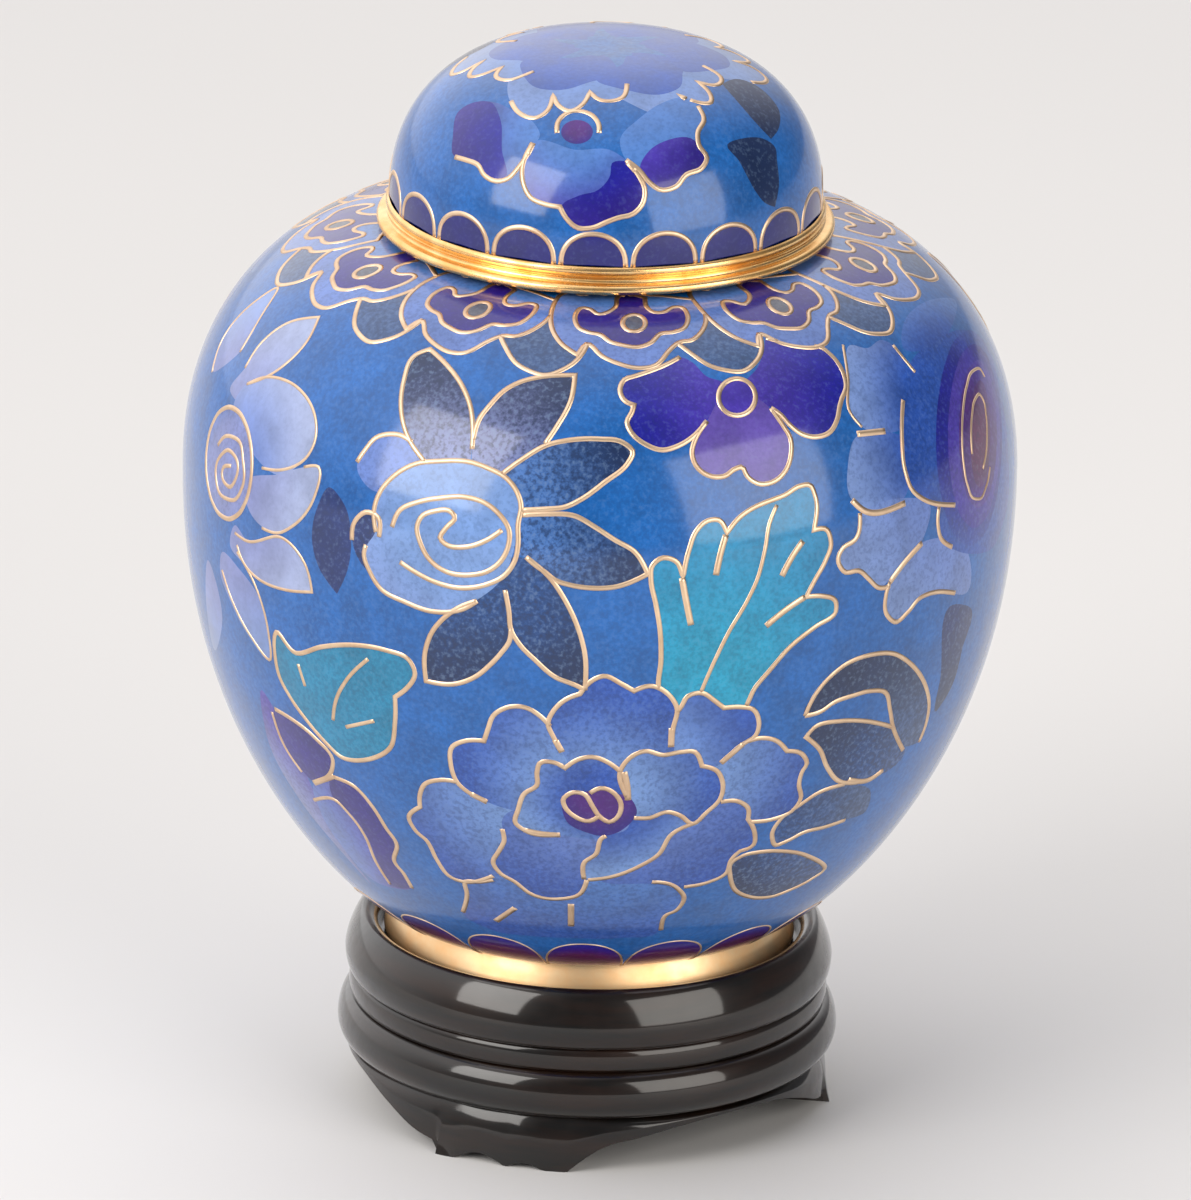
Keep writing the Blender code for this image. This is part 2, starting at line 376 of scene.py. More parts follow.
# Wires as low domes that follow their lines: at each point a section is set across the line, two
# feet sunk into the enamel, two shoulders and a crest, and the sections are joined.
def wireMesh(drawing, name, proud, sunk):
    skin = drawing["skin"]
    sectionAcross = np.array([-0.5, -0.46, 0.0, 0.46, 0.5])
    sectionUp = np.array([-sunk, 0.45 * proud, proud, 0.45 * proud, -sunk])
    ringSize = len(sectionAcross)
    ringIndex = np.arange(ringSize)
    allPoints, allQuads, caps, total = [], [], [], 0
    for wire in visibleWires(drawing):
        plan, closed = wire["plan"], wire["closed"]
        points, normals = planToSkin(plan, skin)
        if closed:
            ahead, behind = np.roll(points, -1, axis=0), np.roll(points, 1, axis=0)
        else:
            ahead = np.concatenate([points[1:], 2 * points[-1:] - points[-2:-1]])
            behind = np.concatenate([2 * points[:1] - points[1:2], points[:-1]])
        forward = ahead - points
        backward = points - behind
        forward = forward / np.maximum(np.linalg.norm(forward, axis=1), 1e-9)[:, None]
        backward = backward / np.maximum(np.linalg.norm(backward, axis=1), 1e-9)[:, None]
        along = forward + backward
        along = along / np.maximum(np.linalg.norm(along, axis=1), 1e-9)[:, None]
        stretch = 1 / np.clip(np.sum(along * forward, axis=1), 0.62, 1.0)
        side = np.cross(normals, along) * (wire["width"] * stretch)[:, None]
        ring = (points[:, None] + side[:, None] * sectionAcross[None, :, None]
                + normals[:, None] * sectionUp[None, :, None])
        count = len(points)
        starts = total + np.arange(count if closed else count - 1) * ringSize
        nexts = total + (np.arange(len(starts)) + 1) % count * ringSize
        around = (ringIndex + 1) % ringSize
        quads = np.stack([starts[:, None] + ringIndex, starts[:, None] + around,
                          nexts[:, None] + around, nexts[:, None] + ringIndex], axis=-1)
        allPoints.append(ring.reshape(-1, 3))
        allQuads.append(quads.reshape(-1, 4))
        if not closed:
            caps.append(total + ringIndex[::-1])
            caps.append(total + (count - 1) * ringSize + ringIndex)
        total += count * ringSize
    quads = np.concatenate(allQuads)
    return meshFromArrays(name, np.concatenate(allPoints), [quads, np.array(caps)])


# A mesh from an array of points in millimetres and arrays of faces, each with one face size.
def meshFromArrays(name, points, faceArrays):
    mesh = bpy.data.meshes.new(name)
    faceArrays = [faces for faces in faceArrays if len(faces)]
    loops = np.concatenate([faces.ravel() for faces in faceArrays]).astype(np.int32)
    sizes = np.concatenate([np.full(len(faces), faces.shape[1]) for faces in faceArrays])
    starts = np.concatenate([[0], np.cumsum(sizes)[:-1]]).astype(np.int32)
    mesh.vertices.add(len(points))
    mesh.vertices.foreach_set("co", (points * metresPerMm).astype(np.float32).ravel())
    mesh.loops.add(len(loops))
    mesh.loops.foreach_set("vertex_index", loops)
    mesh.polygons.add(len(sizes))
    mesh.polygons.foreach_set("loop_start", starts)
    mesh.update(calc_edges=True)
    mesh.shade_smooth()
    return mesh


# The cut plan: a staggered grid whose steps up and around are equal on the skin, and the cells'
# outlines, all joined by triangles. Grid points too close to an outline are left out.
def cutPlan(drawing, columns, closedTop):
    topSpread = 0.018 if closedTop else drawing["skin"]["spreads"][-1]
    angleStep = fullTurn / columns
    rise = -np.log(topSpread)
    rows = int(np.ceil(rise / (angleStep * np.sqrt(0.75))))
    rowIndex, columnIndex = np.meshgrid(np.arange(rows + 1), np.arange(columns), indexing="ij")
    angles = ((columnIndex + 0.5 * (rowIndex % 2)) * angleStep).ravel()
    lifts = (rowIndex * rise / rows).ravel()
    outlines = [cell["plan"] for cell in drawing["cells"]]
    corners = np.concatenate(outlines)
    cornerLifts = -np.log(np.hypot(corners[:, 0], corners[:, 1]))
    cornerAngles = np.arctan2(corners[:, 1], corners[:, 0]) % fullTurn
    binSize = 0.42 * angleStep
    binColumns = int(fullTurn / binSize)
    binRows = int(rise / binSize) + 2
    taken = np.zeros((binRows, binColumns), bool)
    taken[np.clip(cornerLifts / binSize, 0, binRows - 1).astype(int),
          (cornerAngles / fullTurn * binColumns).astype(int) % binColumns] = True
    taken = taken | np.roll(taken, 1, axis=0) | np.roll(taken, -1, axis=0)
    taken = taken | np.roll(taken, 1, axis=1) | np.roll(taken, -1, axis=1)
    gridRow = np.clip(lifts / binSize, 0, binRows - 1).astype(int)
    gridColumn = (angles / fullTurn * binColumns).astype(int) % binColumns
    keep = ~taken[gridRow, gridColumn] | (lifts == 0) | (lifts > rise * (1 - 1e-9))
    spreads = np.exp(-lifts[keep])
    grid = np.column_stack([np.cos(angles[keep]) * spreads, np.sin(angles[keep]) * spreads])
    if closedTop:
        grid = np.concatenate([grid, [[0.0, 0.0]]])
    sizes = np.array([len(outline) for outline in outlines])
    firsts = np.concatenate([[0], np.cumsum(sizes)[:-1]])
    nexts = np.arange(1, len(corners) + 1)
    nexts[firsts + sizes - 1] = firsts
    edges = np.column_stack([np.arange(len(corners)), nexts]) + len(grid)
    spots = np.concatenate([grid, corners])
    cut = delaunay_2d_cdt(spots.tolist(), edges.tolist(), [], 0, 1e-6, False)
    plan = np.array([tuple(spot) for spot in cut[0]])
    triangles = np.array(cut[2])
    onTop = np.abs(np.hypot(plan[:, 0], plan[:, 1]) - topSpread) < 1e-4 * topSpread
    if not closedTop:
        triangles = triangles[~onTop[triangles].all(axis=1)]
    sides = plan[triangles[:, 1:]] - plan[triangles[:, :1]]
    area = sides[:, 0, 0] * sides[:, 1, 1] - sides[:, 0, 1] * sides[:, 1, 0]
    triangles[area < 0] = triangles[area < 0][:, ::-1]
    return plan, triangles[np.abs(area) > 1e-12]


# Quads from a ring of points through the rings of a section, given as radii and levels, and a fan
# to a pole at its end. Faces look to the left of the section's way, or to the right if flipped.
def closingStrips(ring, angles, section, poleLevel, offset, flipped):
    radii, levels = section
    count = len(ring)
    circles = np.stack([np.outer(radii, np.cos(angles)), np.outer(radii, np.sin(angles)),
                        np.repeat(levels[:, None], count, axis=1)], axis=-1)
    points = np.concatenate([circles.reshape(-1, 3), [[0.0, 0.0, poleLevel]]])
    rings = np.concatenate([ring[None], offset + np.arange(len(radii) * count).reshape(-1, count)])
    low, high = rings[:-1], rings[1:]
    lowNext, highNext = np.roll(low, -1, axis=1), np.roll(high, -1, axis=1)
    quads = np.stack([low, lowNext, highNext, high], axis=-1).reshape(-1, 4)
    pole = np.full(count, offset + len(radii) * count)
    fan = np.stack([rings[-1], np.roll(rings[-1], -1), pole], axis=-1)
    if flipped:
        quads, fan = quads[:, ::-1], fan[:, ::-1]
    return points, quads, fan


# The enamelled piece: its painted skin from the cut plan, closed by the plain strips given as
# (which border, section, pole level).
def enamelMesh(drawing, name, columns, closedTop, closings):
    skin = drawing["skin"]
    plan, triangles = cutPlan(drawing, columns, closedTop)
    points, normals = planToSkin(plan, skin)
    distance = np.hypot(plan[:, 0], plan[:, 1])
    turns = np.arctan2(plan[:, 1], plan[:, 0])
    allPoints, quads, fans, offset = [points], [], [], len(points)
    for border, section, poleLevel in closings:
        spread = skin["spreads"][border]
        ring = np.flatnonzero(np.abs(distance - spread) < 1e-4 * spread)
        ring = ring[np.argsort(turns[ring])]
        more, newQuads, fan = closingStrips(ring, turns[ring], section, poleLevel, offset, border == 0)
        allPoints.append(more)
        quads.append(newQuads)
        fans.append(fan)
        offset += len(more)
    mesh = meshFromArrays(name, np.concatenate(allPoints), [triangles, *quads, *fans])
    mesh.set_sharp_from_angle(angle=np.radians(35))
    loopNormals = np.zeros((len(mesh.loops), 3))
    loopNormals[:triangles.size] = normals[triangles.ravel()]
    mesh.normals_split_custom_set(loopNormals)
    paint = np.tile(np.append(linearPaint("inside"), 0.1), (len(mesh.loops), 1))
    paint[:triangles.size] = np.append(linearPaint("ground"), 0.3)
    painted = paint[:triangles.size].reshape(-1, 3, 4)
    corners = plan[triangles]
    middles = corners.mean(axis=1)
    label = np.full(len(triangles), -1)
    for index, cell in enumerate(drawing["cells"]):
        label[insideOutline(middles, cell["plan"])] = index
    for index, cell in enumerate(drawing["cells"]):
        mine = np.flatnonzero(label == index)
        away = np.linalg.norm(corners[mine] - cell["centre"], axis=2)
        mix = np.clip((away - cell["from"]) / (cell["to"] - cell["from"]), 0, 1)[..., None]
        mix = mix * mix * (3 - 2 * mix)
        painted[mine, :, :3] = cell["near"] * (1 - mix) + cell["far"] * mix
        painted[mine, :, 3] = cell["grain"]
    attribute = mesh.color_attributes.new("enamel", "FLOAT_COLOR", "CORNER")
    attribute.data.foreach_set("color", paint.astype(np.float32).ravel())
    return mesh


# Puts a mesh into the scene as a piece that rides on the urn, in place of a CAD node if one is given.
def addPiece(mesh, finish, node=None):
    mesh.materials.append(finish)
    piece = bpy.data.objects.new(mesh.name, mesh)
    bpy.context.scene.collection.objects.link(piece)
    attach(piece, "root")
    if node:
        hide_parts(node)
    return piece


# An empty node material and a maker of nodes for it. Values are given by socket name, and another
# node's socket in place of a value makes a link.
def newFinish(name):
    finish = bpy.data.materials.new(name)
    finish.use_nodes = True
    tree = finish.node_tree
    tree.nodes.clear()

    def node(kind, settings=None, **values):
        made = tree.nodes.new("ShaderNode" + kind)
        for key, value in (settings or {}).items():
            setattr(made, key, value)
        for key, value in values.items():
            socket = made.inputs[key.replace("_", " ")]
            if isinstance(value, bpy.types.NodeSocket):
                tree.links.new(value, socket)
            else:
                socket.default_value = value
        return made

    return finish, node


# Joins a shader to the material's output.
def endFinish(finish, shader):
    tree = finish.node_tree
    output = tree.nodes.new("ShaderNodeOutputMaterial")
    tree.links.new(shader.outputs[0], output.inputs["Surface"])


# Two-way mix of colours: factor, then the two of them, blended in the given way.
def mixColours(node, factor, first, second, way="MIX"):
    made = node("Mix", {"data_type": "RGBA", "blend_type": way})
    tree = made.id_data
    for socket, value in ((made.inputs[0], factor), (made.inputs[6], first), (made.inputs[7], second)):
        if isinstance(value, bpy.types.NodeSocket):
            tree.links.new(value, socket)
        else:
            socket.default_value = value
    return made.outputs[2]


# Runs a value through a straight ramp between two inputs and two outputs.
def rampValue(node, value, fromLow, fromHigh, toLow, toHigh):
    made = node("MapRange", Value=value, From_Min=fromLow, From_Max=fromHigh, To_Min=toLow,
                To_Max=toHigh)
    return made.outputs["Result"]


# Sums or other arithmetic on two values.
def mathNode(node, way, first, second):
    made = node("Math", {"operation": way})
    tree = made.id_data
    for socket, value in zip(made.inputs, (first, second)):
        if isinstance(value, bpy.types.NodeSocket):
            tree.links.new(value, socket)
        else:
            socket.default_value = value
    return made.outputs[0]


# Fired enamel: the cell's colour, clouded over a few millimetres and speckled with darker and lighter
# grains as much as its grain value says, under a clear polished glaze with faint pits.
def enamelFinish():
    finish, node = newFinish("fired_enamel")
    place = node("TexCoord").outputs["Object"]
    cell = node("Attribute", {"attribute_name": "enamel"})
    cloud = node("TexNoise", Vector=place, Scale=320.0, Detail=4.0, Roughness=0.6).outputs["Fac"]
    grains = node("TexNoise", Vector=place, Scale=2600.0, Detail=2.0, Roughness=0.6).outputs["Fac"]
    pits = node("TexNoise", Vector=place, Scale=900.0, Detail=2.0).outputs["Fac"]
    cloudGain = rampValue(node, cloud, 0.3, 0.7, 0.8, 1.2)
    clouded = mixColours(node, 1.0, cell.outputs["Color"], cloudGain, "MULTIPLY")
    darkShare = mathNode(node, "MULTIPLY", rampValue(node, grains, 0.54, 0.36, 0.0, 0.85),
                         cell.outputs["Alpha"])
    lightShare = mathNode(node, "MULTIPLY", rampValue(node, grains, 0.52, 0.7, 0.0, 0.5),
                          cell.outputs["Alpha"])
    dark = mixColours(node, darkShare, clouded, (0.006, 0.02, 0.07, 1.0))
    light = mixColours(node, lightShare, dark, (0.14, 0.22, 0.36, 1.0))
    bump = node("Bump", Strength=0.15, Distance=0.00006, Height=pits)
    shader = node("BsdfPrincipled", Base_Color=light, Roughness=rampValue(node, cloud, 0.3, 0.7, 0.34, 0.46),
                  Normal=bump.outputs["Normal"], IOR=1.5)
    shader.inputs["Specular IOR Level"].default_value = 0.25
    shader.inputs["Coat Weight"].default_value = 1.0
    shader.inputs["Coat Roughness"].default_value = 0.11
    shader.inputs["Coat IOR"].default_value = 1.45
    endFinish(finish, shader)
    return finish


# Gilt metal, slightly clouded in colour and roughness, with fine wear in its surface.
def giltFinish(name, pale, deep, roughLow, roughHigh):
    finish, node = newFinish(name)
    place = node("TexCoord").outputs["Object"]
    cloud = node("TexNoise", Vector=place, Scale=350.0, Detail=4.0, Roughness=0.6).outputs["Fac"]
    fine = node("TexNoise", Vector=place, Scale=2600.0, Detail=3.0).outputs["Fac"]
    colour = mixColours(node, rampValue(node, cloud, 0.35, 0.65, 0.0, 1.0), (*pale, 1.0), (*deep, 1.0))
    bump = node("Bump", Strength=0.04, Distance=0.00001, Height=fine)
    shader = node("BsdfPrincipled", Base_Color=colour, Metallic=1.0,
                  Roughness=rampValue(node, cloud, 0.3, 0.7, roughLow, roughHigh),
                  Normal=bump.outputs["Normal"])
    endFinish(finish, shader)
    return finish


# Dark lacquer over wood: brown shows faintly in streaks round the turning, and the gloss varies.
def lacquerFinish():
    finish, node = newFinish("dark_lacquer")
    place = node("TexCoord").outputs["Object"]
    streaks = node("Mapping", Vector=place, Scale=(90.0, 90.0, 700.0)).outputs["Vector"]
    grain = node("TexNoise", Vector=streaks, Scale=1.0, Detail=4.0, Roughness=0.6).outputs["Fac"]
    dust = node("TexNoise", Vector=place, Scale=700.0, Detail=3.0).outputs["Fac"]
    colour = mixColours(node, rampValue(node, grain, 0.4, 0.7, 0.0, 1.0), (0.002, 0.0014, 0.001, 1.0),
                        (0.014, 0.005, 0.002, 1.0))
    bump = node("Bump", Strength=0.2, Distance=0.00008, Height=dust)
    shader = node("BsdfPrincipled", Base_Color=colour, Normal=bump.outputs["Normal"], IOR=1.45,
                  Roughness=rampValue(node, dust, 0.3, 0.7, 0.3, 0.42))
    shader.inputs["Specular IOR Level"].default_value = 0.2
    shader.inputs["Coat Weight"].default_value = 1.0
    shader.inputs["Coat Roughness"].default_value = 0.08
    shader.inputs["Coat IOR"].default_value = 1.5
    endFinish(finish, shader)
    return finish


wall = {"vessel": 1.8, "neck": 1.4}
lowerPowers = (2.16, 1.24)
upperPowers = (2.12, 2.20)
domePowers = (2.26, 2.84)
skinSteps = 700

body = {
    "neckRadius": 15.1,
    "bellyRise": 36.3,
    "shoulderRise": 19.6,
    "columns": 288,
    "cavitySteps": 14,
}
bodyBase, neckTop, bellyRadius = nodeSizes("urn_body")
ringBase, ringTop, footRadius = nodeSizes("foot_ring")
bellyLevel = bodyBase + body["bellyRise"]
neckRoot = bellyLevel + body["shoulderRise"]
lowRadii, lowHeights = quarterCurve(footRadius, bellyRadius, bellyLevel, bodyBase, lowerPowers, skinSteps)
highRadii, highHeights = quarterCurve(body["neckRadius"], bellyRadius, bellyLevel, neckRoot, upperPowers,
                                      skinSteps)
bodySkin = makeSkin(np.concatenate([lowRadii[::-1], highRadii[1:]]),
                    np.concatenate([lowHeights[::-1], highHeights[1:]]))

domeBase, domeTop, domeRadius = nodeSizes("lid")
domeRadii, domeHeights = quarterCurve(0.0, domeRadius, domeBase, domeTop, domePowers, skinSteps)
lidSkin = makeSkin(domeRadii, domeHeights)

frontAndBack = [(0.0, False), (180.0, False)]

# One more leaf low on each side, where the photograph doesn't reach.
sideCopies = [(140.0, False), (295.0, False)]

# The collar's heads in front stand as far apart as they measure, and the others share the rest.
collar = {"heads": 11, "frontHeads": 5, "frontStep": 34.2}
frontSpan = (collar["frontHeads"] - 1) * collar["frontStep"]
backGaps = collar["heads"] - collar["frontHeads"] + 1
backStep = (360.0 - frontSpan) / backGaps
frontTurns = [collar["frontStep"] * step - 0.5 * frontSpan for step in range(collar["frontHeads"])]
backTurns = [0.5 * frontSpan + backStep * (step + 1) for step in range(backGaps - 1)]
ruyiCopies = [(angle, False) for angle in frontTurns + backTurns]
apexCopies = [(60.0 * step, False) for step in range(6)]

# The collar of cloud heads under the lid, and the half lobes that show between them.
halfLobe = {
    "centre": (540, 310),
    "parts": [
        ("cell", [(500, 330), (507, 350), (515, 362), (530, 371), (545, 375), (562, 370), (577, 360),
                  (588, 340), (560, 310), (520, 310)], "greyBlue", "greyBlue", 0.5),
    ],
}
cloudHead = {
    "centre": (634, 300),
    "parts": [
        ("cell", [(556, 300), (551, 314), (552, 328), (560, 342), (578, 355), (578, 355), (587, 344),
                  (602, 356), (620, 364), (640, 368), (656, 365), (667, 353), (667, 353), (680, 342),
                  (692, 340), (702, 331), (706, 320), (703, 309), (697, 300), (697, 300), (626, 294)],
         "skyBlue", "periwinkle", 0.3),
        ("cell", [(617, 298), (616, 306), (608, 312), (598, 314), (590, 309), (581, 308), (575, 316),
                  (578, 327), (588, 332), (601, 335), (609, 341), (622, 345), (638, 347), (652, 342),
                  (660, 334), (674, 332), (685, 327), (688, 317), (683, 308), (674, 307), (664, 312),
                  (653, 312), (646, 306), (645, 298), (645, 298)], "purple", "purple", 0.2),
        ("cell", arcPixels(634, 323, 11.5, 8.5), "olive", "olive", 0.4),
    ],
}

rose = {
    "centre": (460, 525),
    "parts": [
        ("field", [(425, 460), (407, 435), (401, 408), (404, 380), (413, 357), (430, 349), (446, 364),
                   (460, 382), (470, 405), (473, 430), (472, 447), (460, 490)],
         "lavender", "slate", 0.9),
        ("field", [(472, 447), (480, 412), (490, 405), (505, 390), (520, 382), (540, 377), (575, 375),
                   (575, 375), (571, 400), (556, 428), (545, 442), (505, 472), (480, 490)],
         "lavender", "slate", 0.9),
        ("field", [(505, 472), (547, 445), (570, 440), (600, 439), (622, 442), (633, 452), (630, 461),
                   (605, 482), (580, 500), (565, 507), (545, 508), (524, 508), (500, 500)],
         "skyBlue", "slate", 0.8),
        ("field", [(510, 513), (545, 514), (575, 516), (595, 527), (615, 540), (635, 552), (648, 574),
                   (648, 574), (615, 587), (590, 588), (570, 585), (555, 580), (545, 572), (526, 558),
                   (500, 545)], "skyBlue", "slate", 0.8),
        ("field", [(505, 560), (526, 558), (550, 578), (565, 600), (578, 628), (585, 655), (585, 690),
                   (585, 690), (575, 685), (555, 677), (535, 660), (520, 645), (512, 630), (505, 610),
                   (495, 580)], "slateLight", "slate", 0.8),
        ("field", [(480, 575), (505, 592), (509, 612), (510, 640), (502, 652), (490, 665), (475, 677),
                   (455, 684), (426, 681), (426, 681), (425, 652), (432, 632), (445, 617), (460, 607),
                   (470, 595)], "slateLight", "slate", 0.8),
        ("field", [(329, 487), (317, 508), (312, 540), (320, 570), (337, 594), (337, 594), (348, 568),
                   (351, 535), (344, 504)], "night", "night", 0.5),
        ("field", [(352, 537), (355, 520), (367, 512), (377, 516), (390, 545), (385, 572), (370, 572),
                   (358, 558)], "night", "night", 0.8),
        ("field", [(420, 470), (410, 442), (400, 435), (390, 434), (377, 437), (365, 450), (357, 465),
                   (372, 490), (400, 490)], "periwinkle", "periwinkle", 0.3),
        ("field", [(376, 530), (374, 510), (380, 492), (395, 475), (415, 462), (440, 461), (470, 462),
                   (490, 470), (505, 477), (516, 490), (521, 505), (518, 525), (514, 548), (505, 575),
                   (480, 598), (452, 611), (430, 611), (405, 602), (382, 590), (370, 572), (365, 550)],
         "petalBlue", "paleBlue", 0.25),
        ("wire", [(425, 462), (407, 435), (401, 408), (404, 380), (413, 357), (430, 349), (430, 349),
                  (446, 364), (460, 382), (470, 405), (473, 430), (472, 449)]),
        ("wire", [(473, 440), (480, 418), (490, 405), (505, 390), (520, 382), (540, 377), (575, 375),
                  (575, 375), (571, 400), (556, 428), (545, 444)]),
        ("wire", [(502, 474), (524, 458), (547, 445), (570, 440), (600, 439), (622, 442), (633, 452),
                  (628, 463), (605, 482), (580, 500), (565, 507), (545, 509), (522, 510)]),
        ("wire", [(522, 515), (545, 514), (575, 516), (595, 527), (615, 540), (635, 552), (648, 574),
                  (648, 574), (615, 587), (590, 588), (570, 585), (555, 580), (545, 572), (535, 565),
                  (526, 557)]),
        ("wire", [(526, 557), (550, 578), (565, 600), (578, 628), (585, 655), (585, 690)]),
        ("wire", [(505, 590), (509, 612), (511, 630), (520, 645), (535, 660), (555, 677), (575, 685),
                  (585, 690)]),
        ("wire", [(511, 628), (509, 642), (502, 652), (490, 665), (475, 677), (455, 684), (426, 681),
                  (426, 681), (425, 652), (432, 632), (445, 617), (460, 607), (477, 601)]),
        ("wire", [(477, 601), (463, 609), (450, 612), (430, 611), (405, 602), (382, 590), (370, 572),
                  (364, 552), (366, 545)]),
        ("wire", [(376, 532), (374, 510), (380, 492), (395, 475), (415, 464), (440, 461), (470, 462),
                  (490, 469), (505, 477), (516, 490), (521, 505), (518, 525), (518, 545), (515, 560),
                  (505, 575), (485, 585), (460, 588), (435, 582), (415, 572), (400, 562)]),
        ("wire", [(392, 527), (400, 510), (418, 502), (440, 498), (465, 497), (485, 503), (500, 515),
                  (509, 530), (508, 547), (500, 562), (488, 571), (470, 575), (447, 572), (430, 560),
                  (420, 542), (417, 526), (422, 516), (435, 511), (450, 511), (455, 517), (446, 528),
                  (440, 538), (447, 545), (465, 547), (485, 541), (502, 530)]),
        ("wire", [(412, 442), (400, 435), (390, 434), (377, 437), (365, 450), (357, 462)]),
        ("wire", [(352, 540), (355, 521), (366, 512), (377, 516), (379, 537)]),
    ],
}

purpleFlower = {
    "centre": (737, 397),
    "parts": [
        ("field", [(725, 405), (706, 421), (695, 435), (680, 445), (662, 450), (645, 444), (631, 432),
                   (627, 422), (632, 412), (634, 405), (634, 405), (624, 400), (620, 390), (624, 380),
                   (635, 376), (650, 371), (665, 365), (680, 357), (692, 362), (706, 376), (725, 384)],
         "iris", "indigo", 0.3),
        ("field", [(745, 384), (757, 368), (764, 350), (766, 338), (790, 344), (806, 346), (820, 347),
                   (827, 352), (837, 362), (844, 375), (846, 387), (842, 398), (842, 398), (840, 405),
                   (837, 420), (830, 432), (815, 437), (802, 434), (790, 425), (780, 412), (755, 400)],
         "iris", "indigo", 0.3),
        ("field", [(725, 395), (706, 423), (695, 440), (692, 452), (697, 467), (710, 476), (725, 476),
                   (735, 469), (742, 467), (747, 476), (760, 484), (775, 481), (786, 470), (791, 455),
                   (790, 437), (784, 427), (772, 410), (750, 395)], "lilac", "lilac", 0.2),
        ("wire", [(707, 421), (695, 435), (680, 445), (662, 450), (645, 444), (631, 432), (627, 422),
                  (632, 412), (634, 405), (634, 405), (624, 400), (620, 390), (624, 380), (635, 376),
                  (650, 371), (665, 365), (680, 357)]),
        ("wire", [(766, 338), (790, 344), (806, 346), (820, 347), (830, 354), (838, 363), (844, 375),
                  (846, 387), (842, 398), (842, 398), (840, 405), (837, 420), (830, 432), (815, 437),
                  (802, 434), (790, 425), (780, 414), (771, 408)]),
        ("wire", [(706, 422), (695, 440), (692, 452), (697, 467), (710, 476), (725, 476), (735, 469),
                  (742, 467), (747, 476), (760, 484), (775, 481), (786, 470), (791, 455), (790, 437),
                  (784, 427), (771, 408)]),
        ("cell", arcPixels(737, 397, 18.5, 18.5), "iris", "iris", 0.2),
    ],
}

turquoiseLeaf = {
    "centre": (705, 700),
    "parts": [
        ("cell", [(659, 690), (661, 660), (660, 630), (656, 605), (651, 580), (652, 566), (662, 558),
                  (677, 562), (683, 578), (683, 578), (689, 550), (697, 530), (707, 521), (719, 520),
                  (727, 533), (727, 533), (740, 517), (755, 507), (772, 500), (785, 495), (800, 486),
                  (810, 485), (815, 495), (814, 530), (814, 530), (826, 529), (831, 542), (825, 562),
                  (815, 580), (806, 597), (806, 597), (822, 596), (835, 600), (836, 611), (815, 627),
                  (790, 647), (770, 670), (755, 688), (742, 712), (700, 725)],
         "aqua", "turquoise", 0.3),
        ("wire", [(701, 692), (715, 660), (730, 630), (745, 605), (757, 580), (765, 550), (770, 522),
                  (777, 505)], veinWidth),
        ("wire", [(682, 578), (686, 600), (691, 625)], tickWidth),
        ("wire", [(726, 535), (721, 552), (716, 575)], tickWidth),
        ("wire", [(803, 541), (792, 557), (782, 576)], tickWidth),
        ("wire", [(805, 597), (787, 609), (766, 626)], tickWidth),
    ],
}

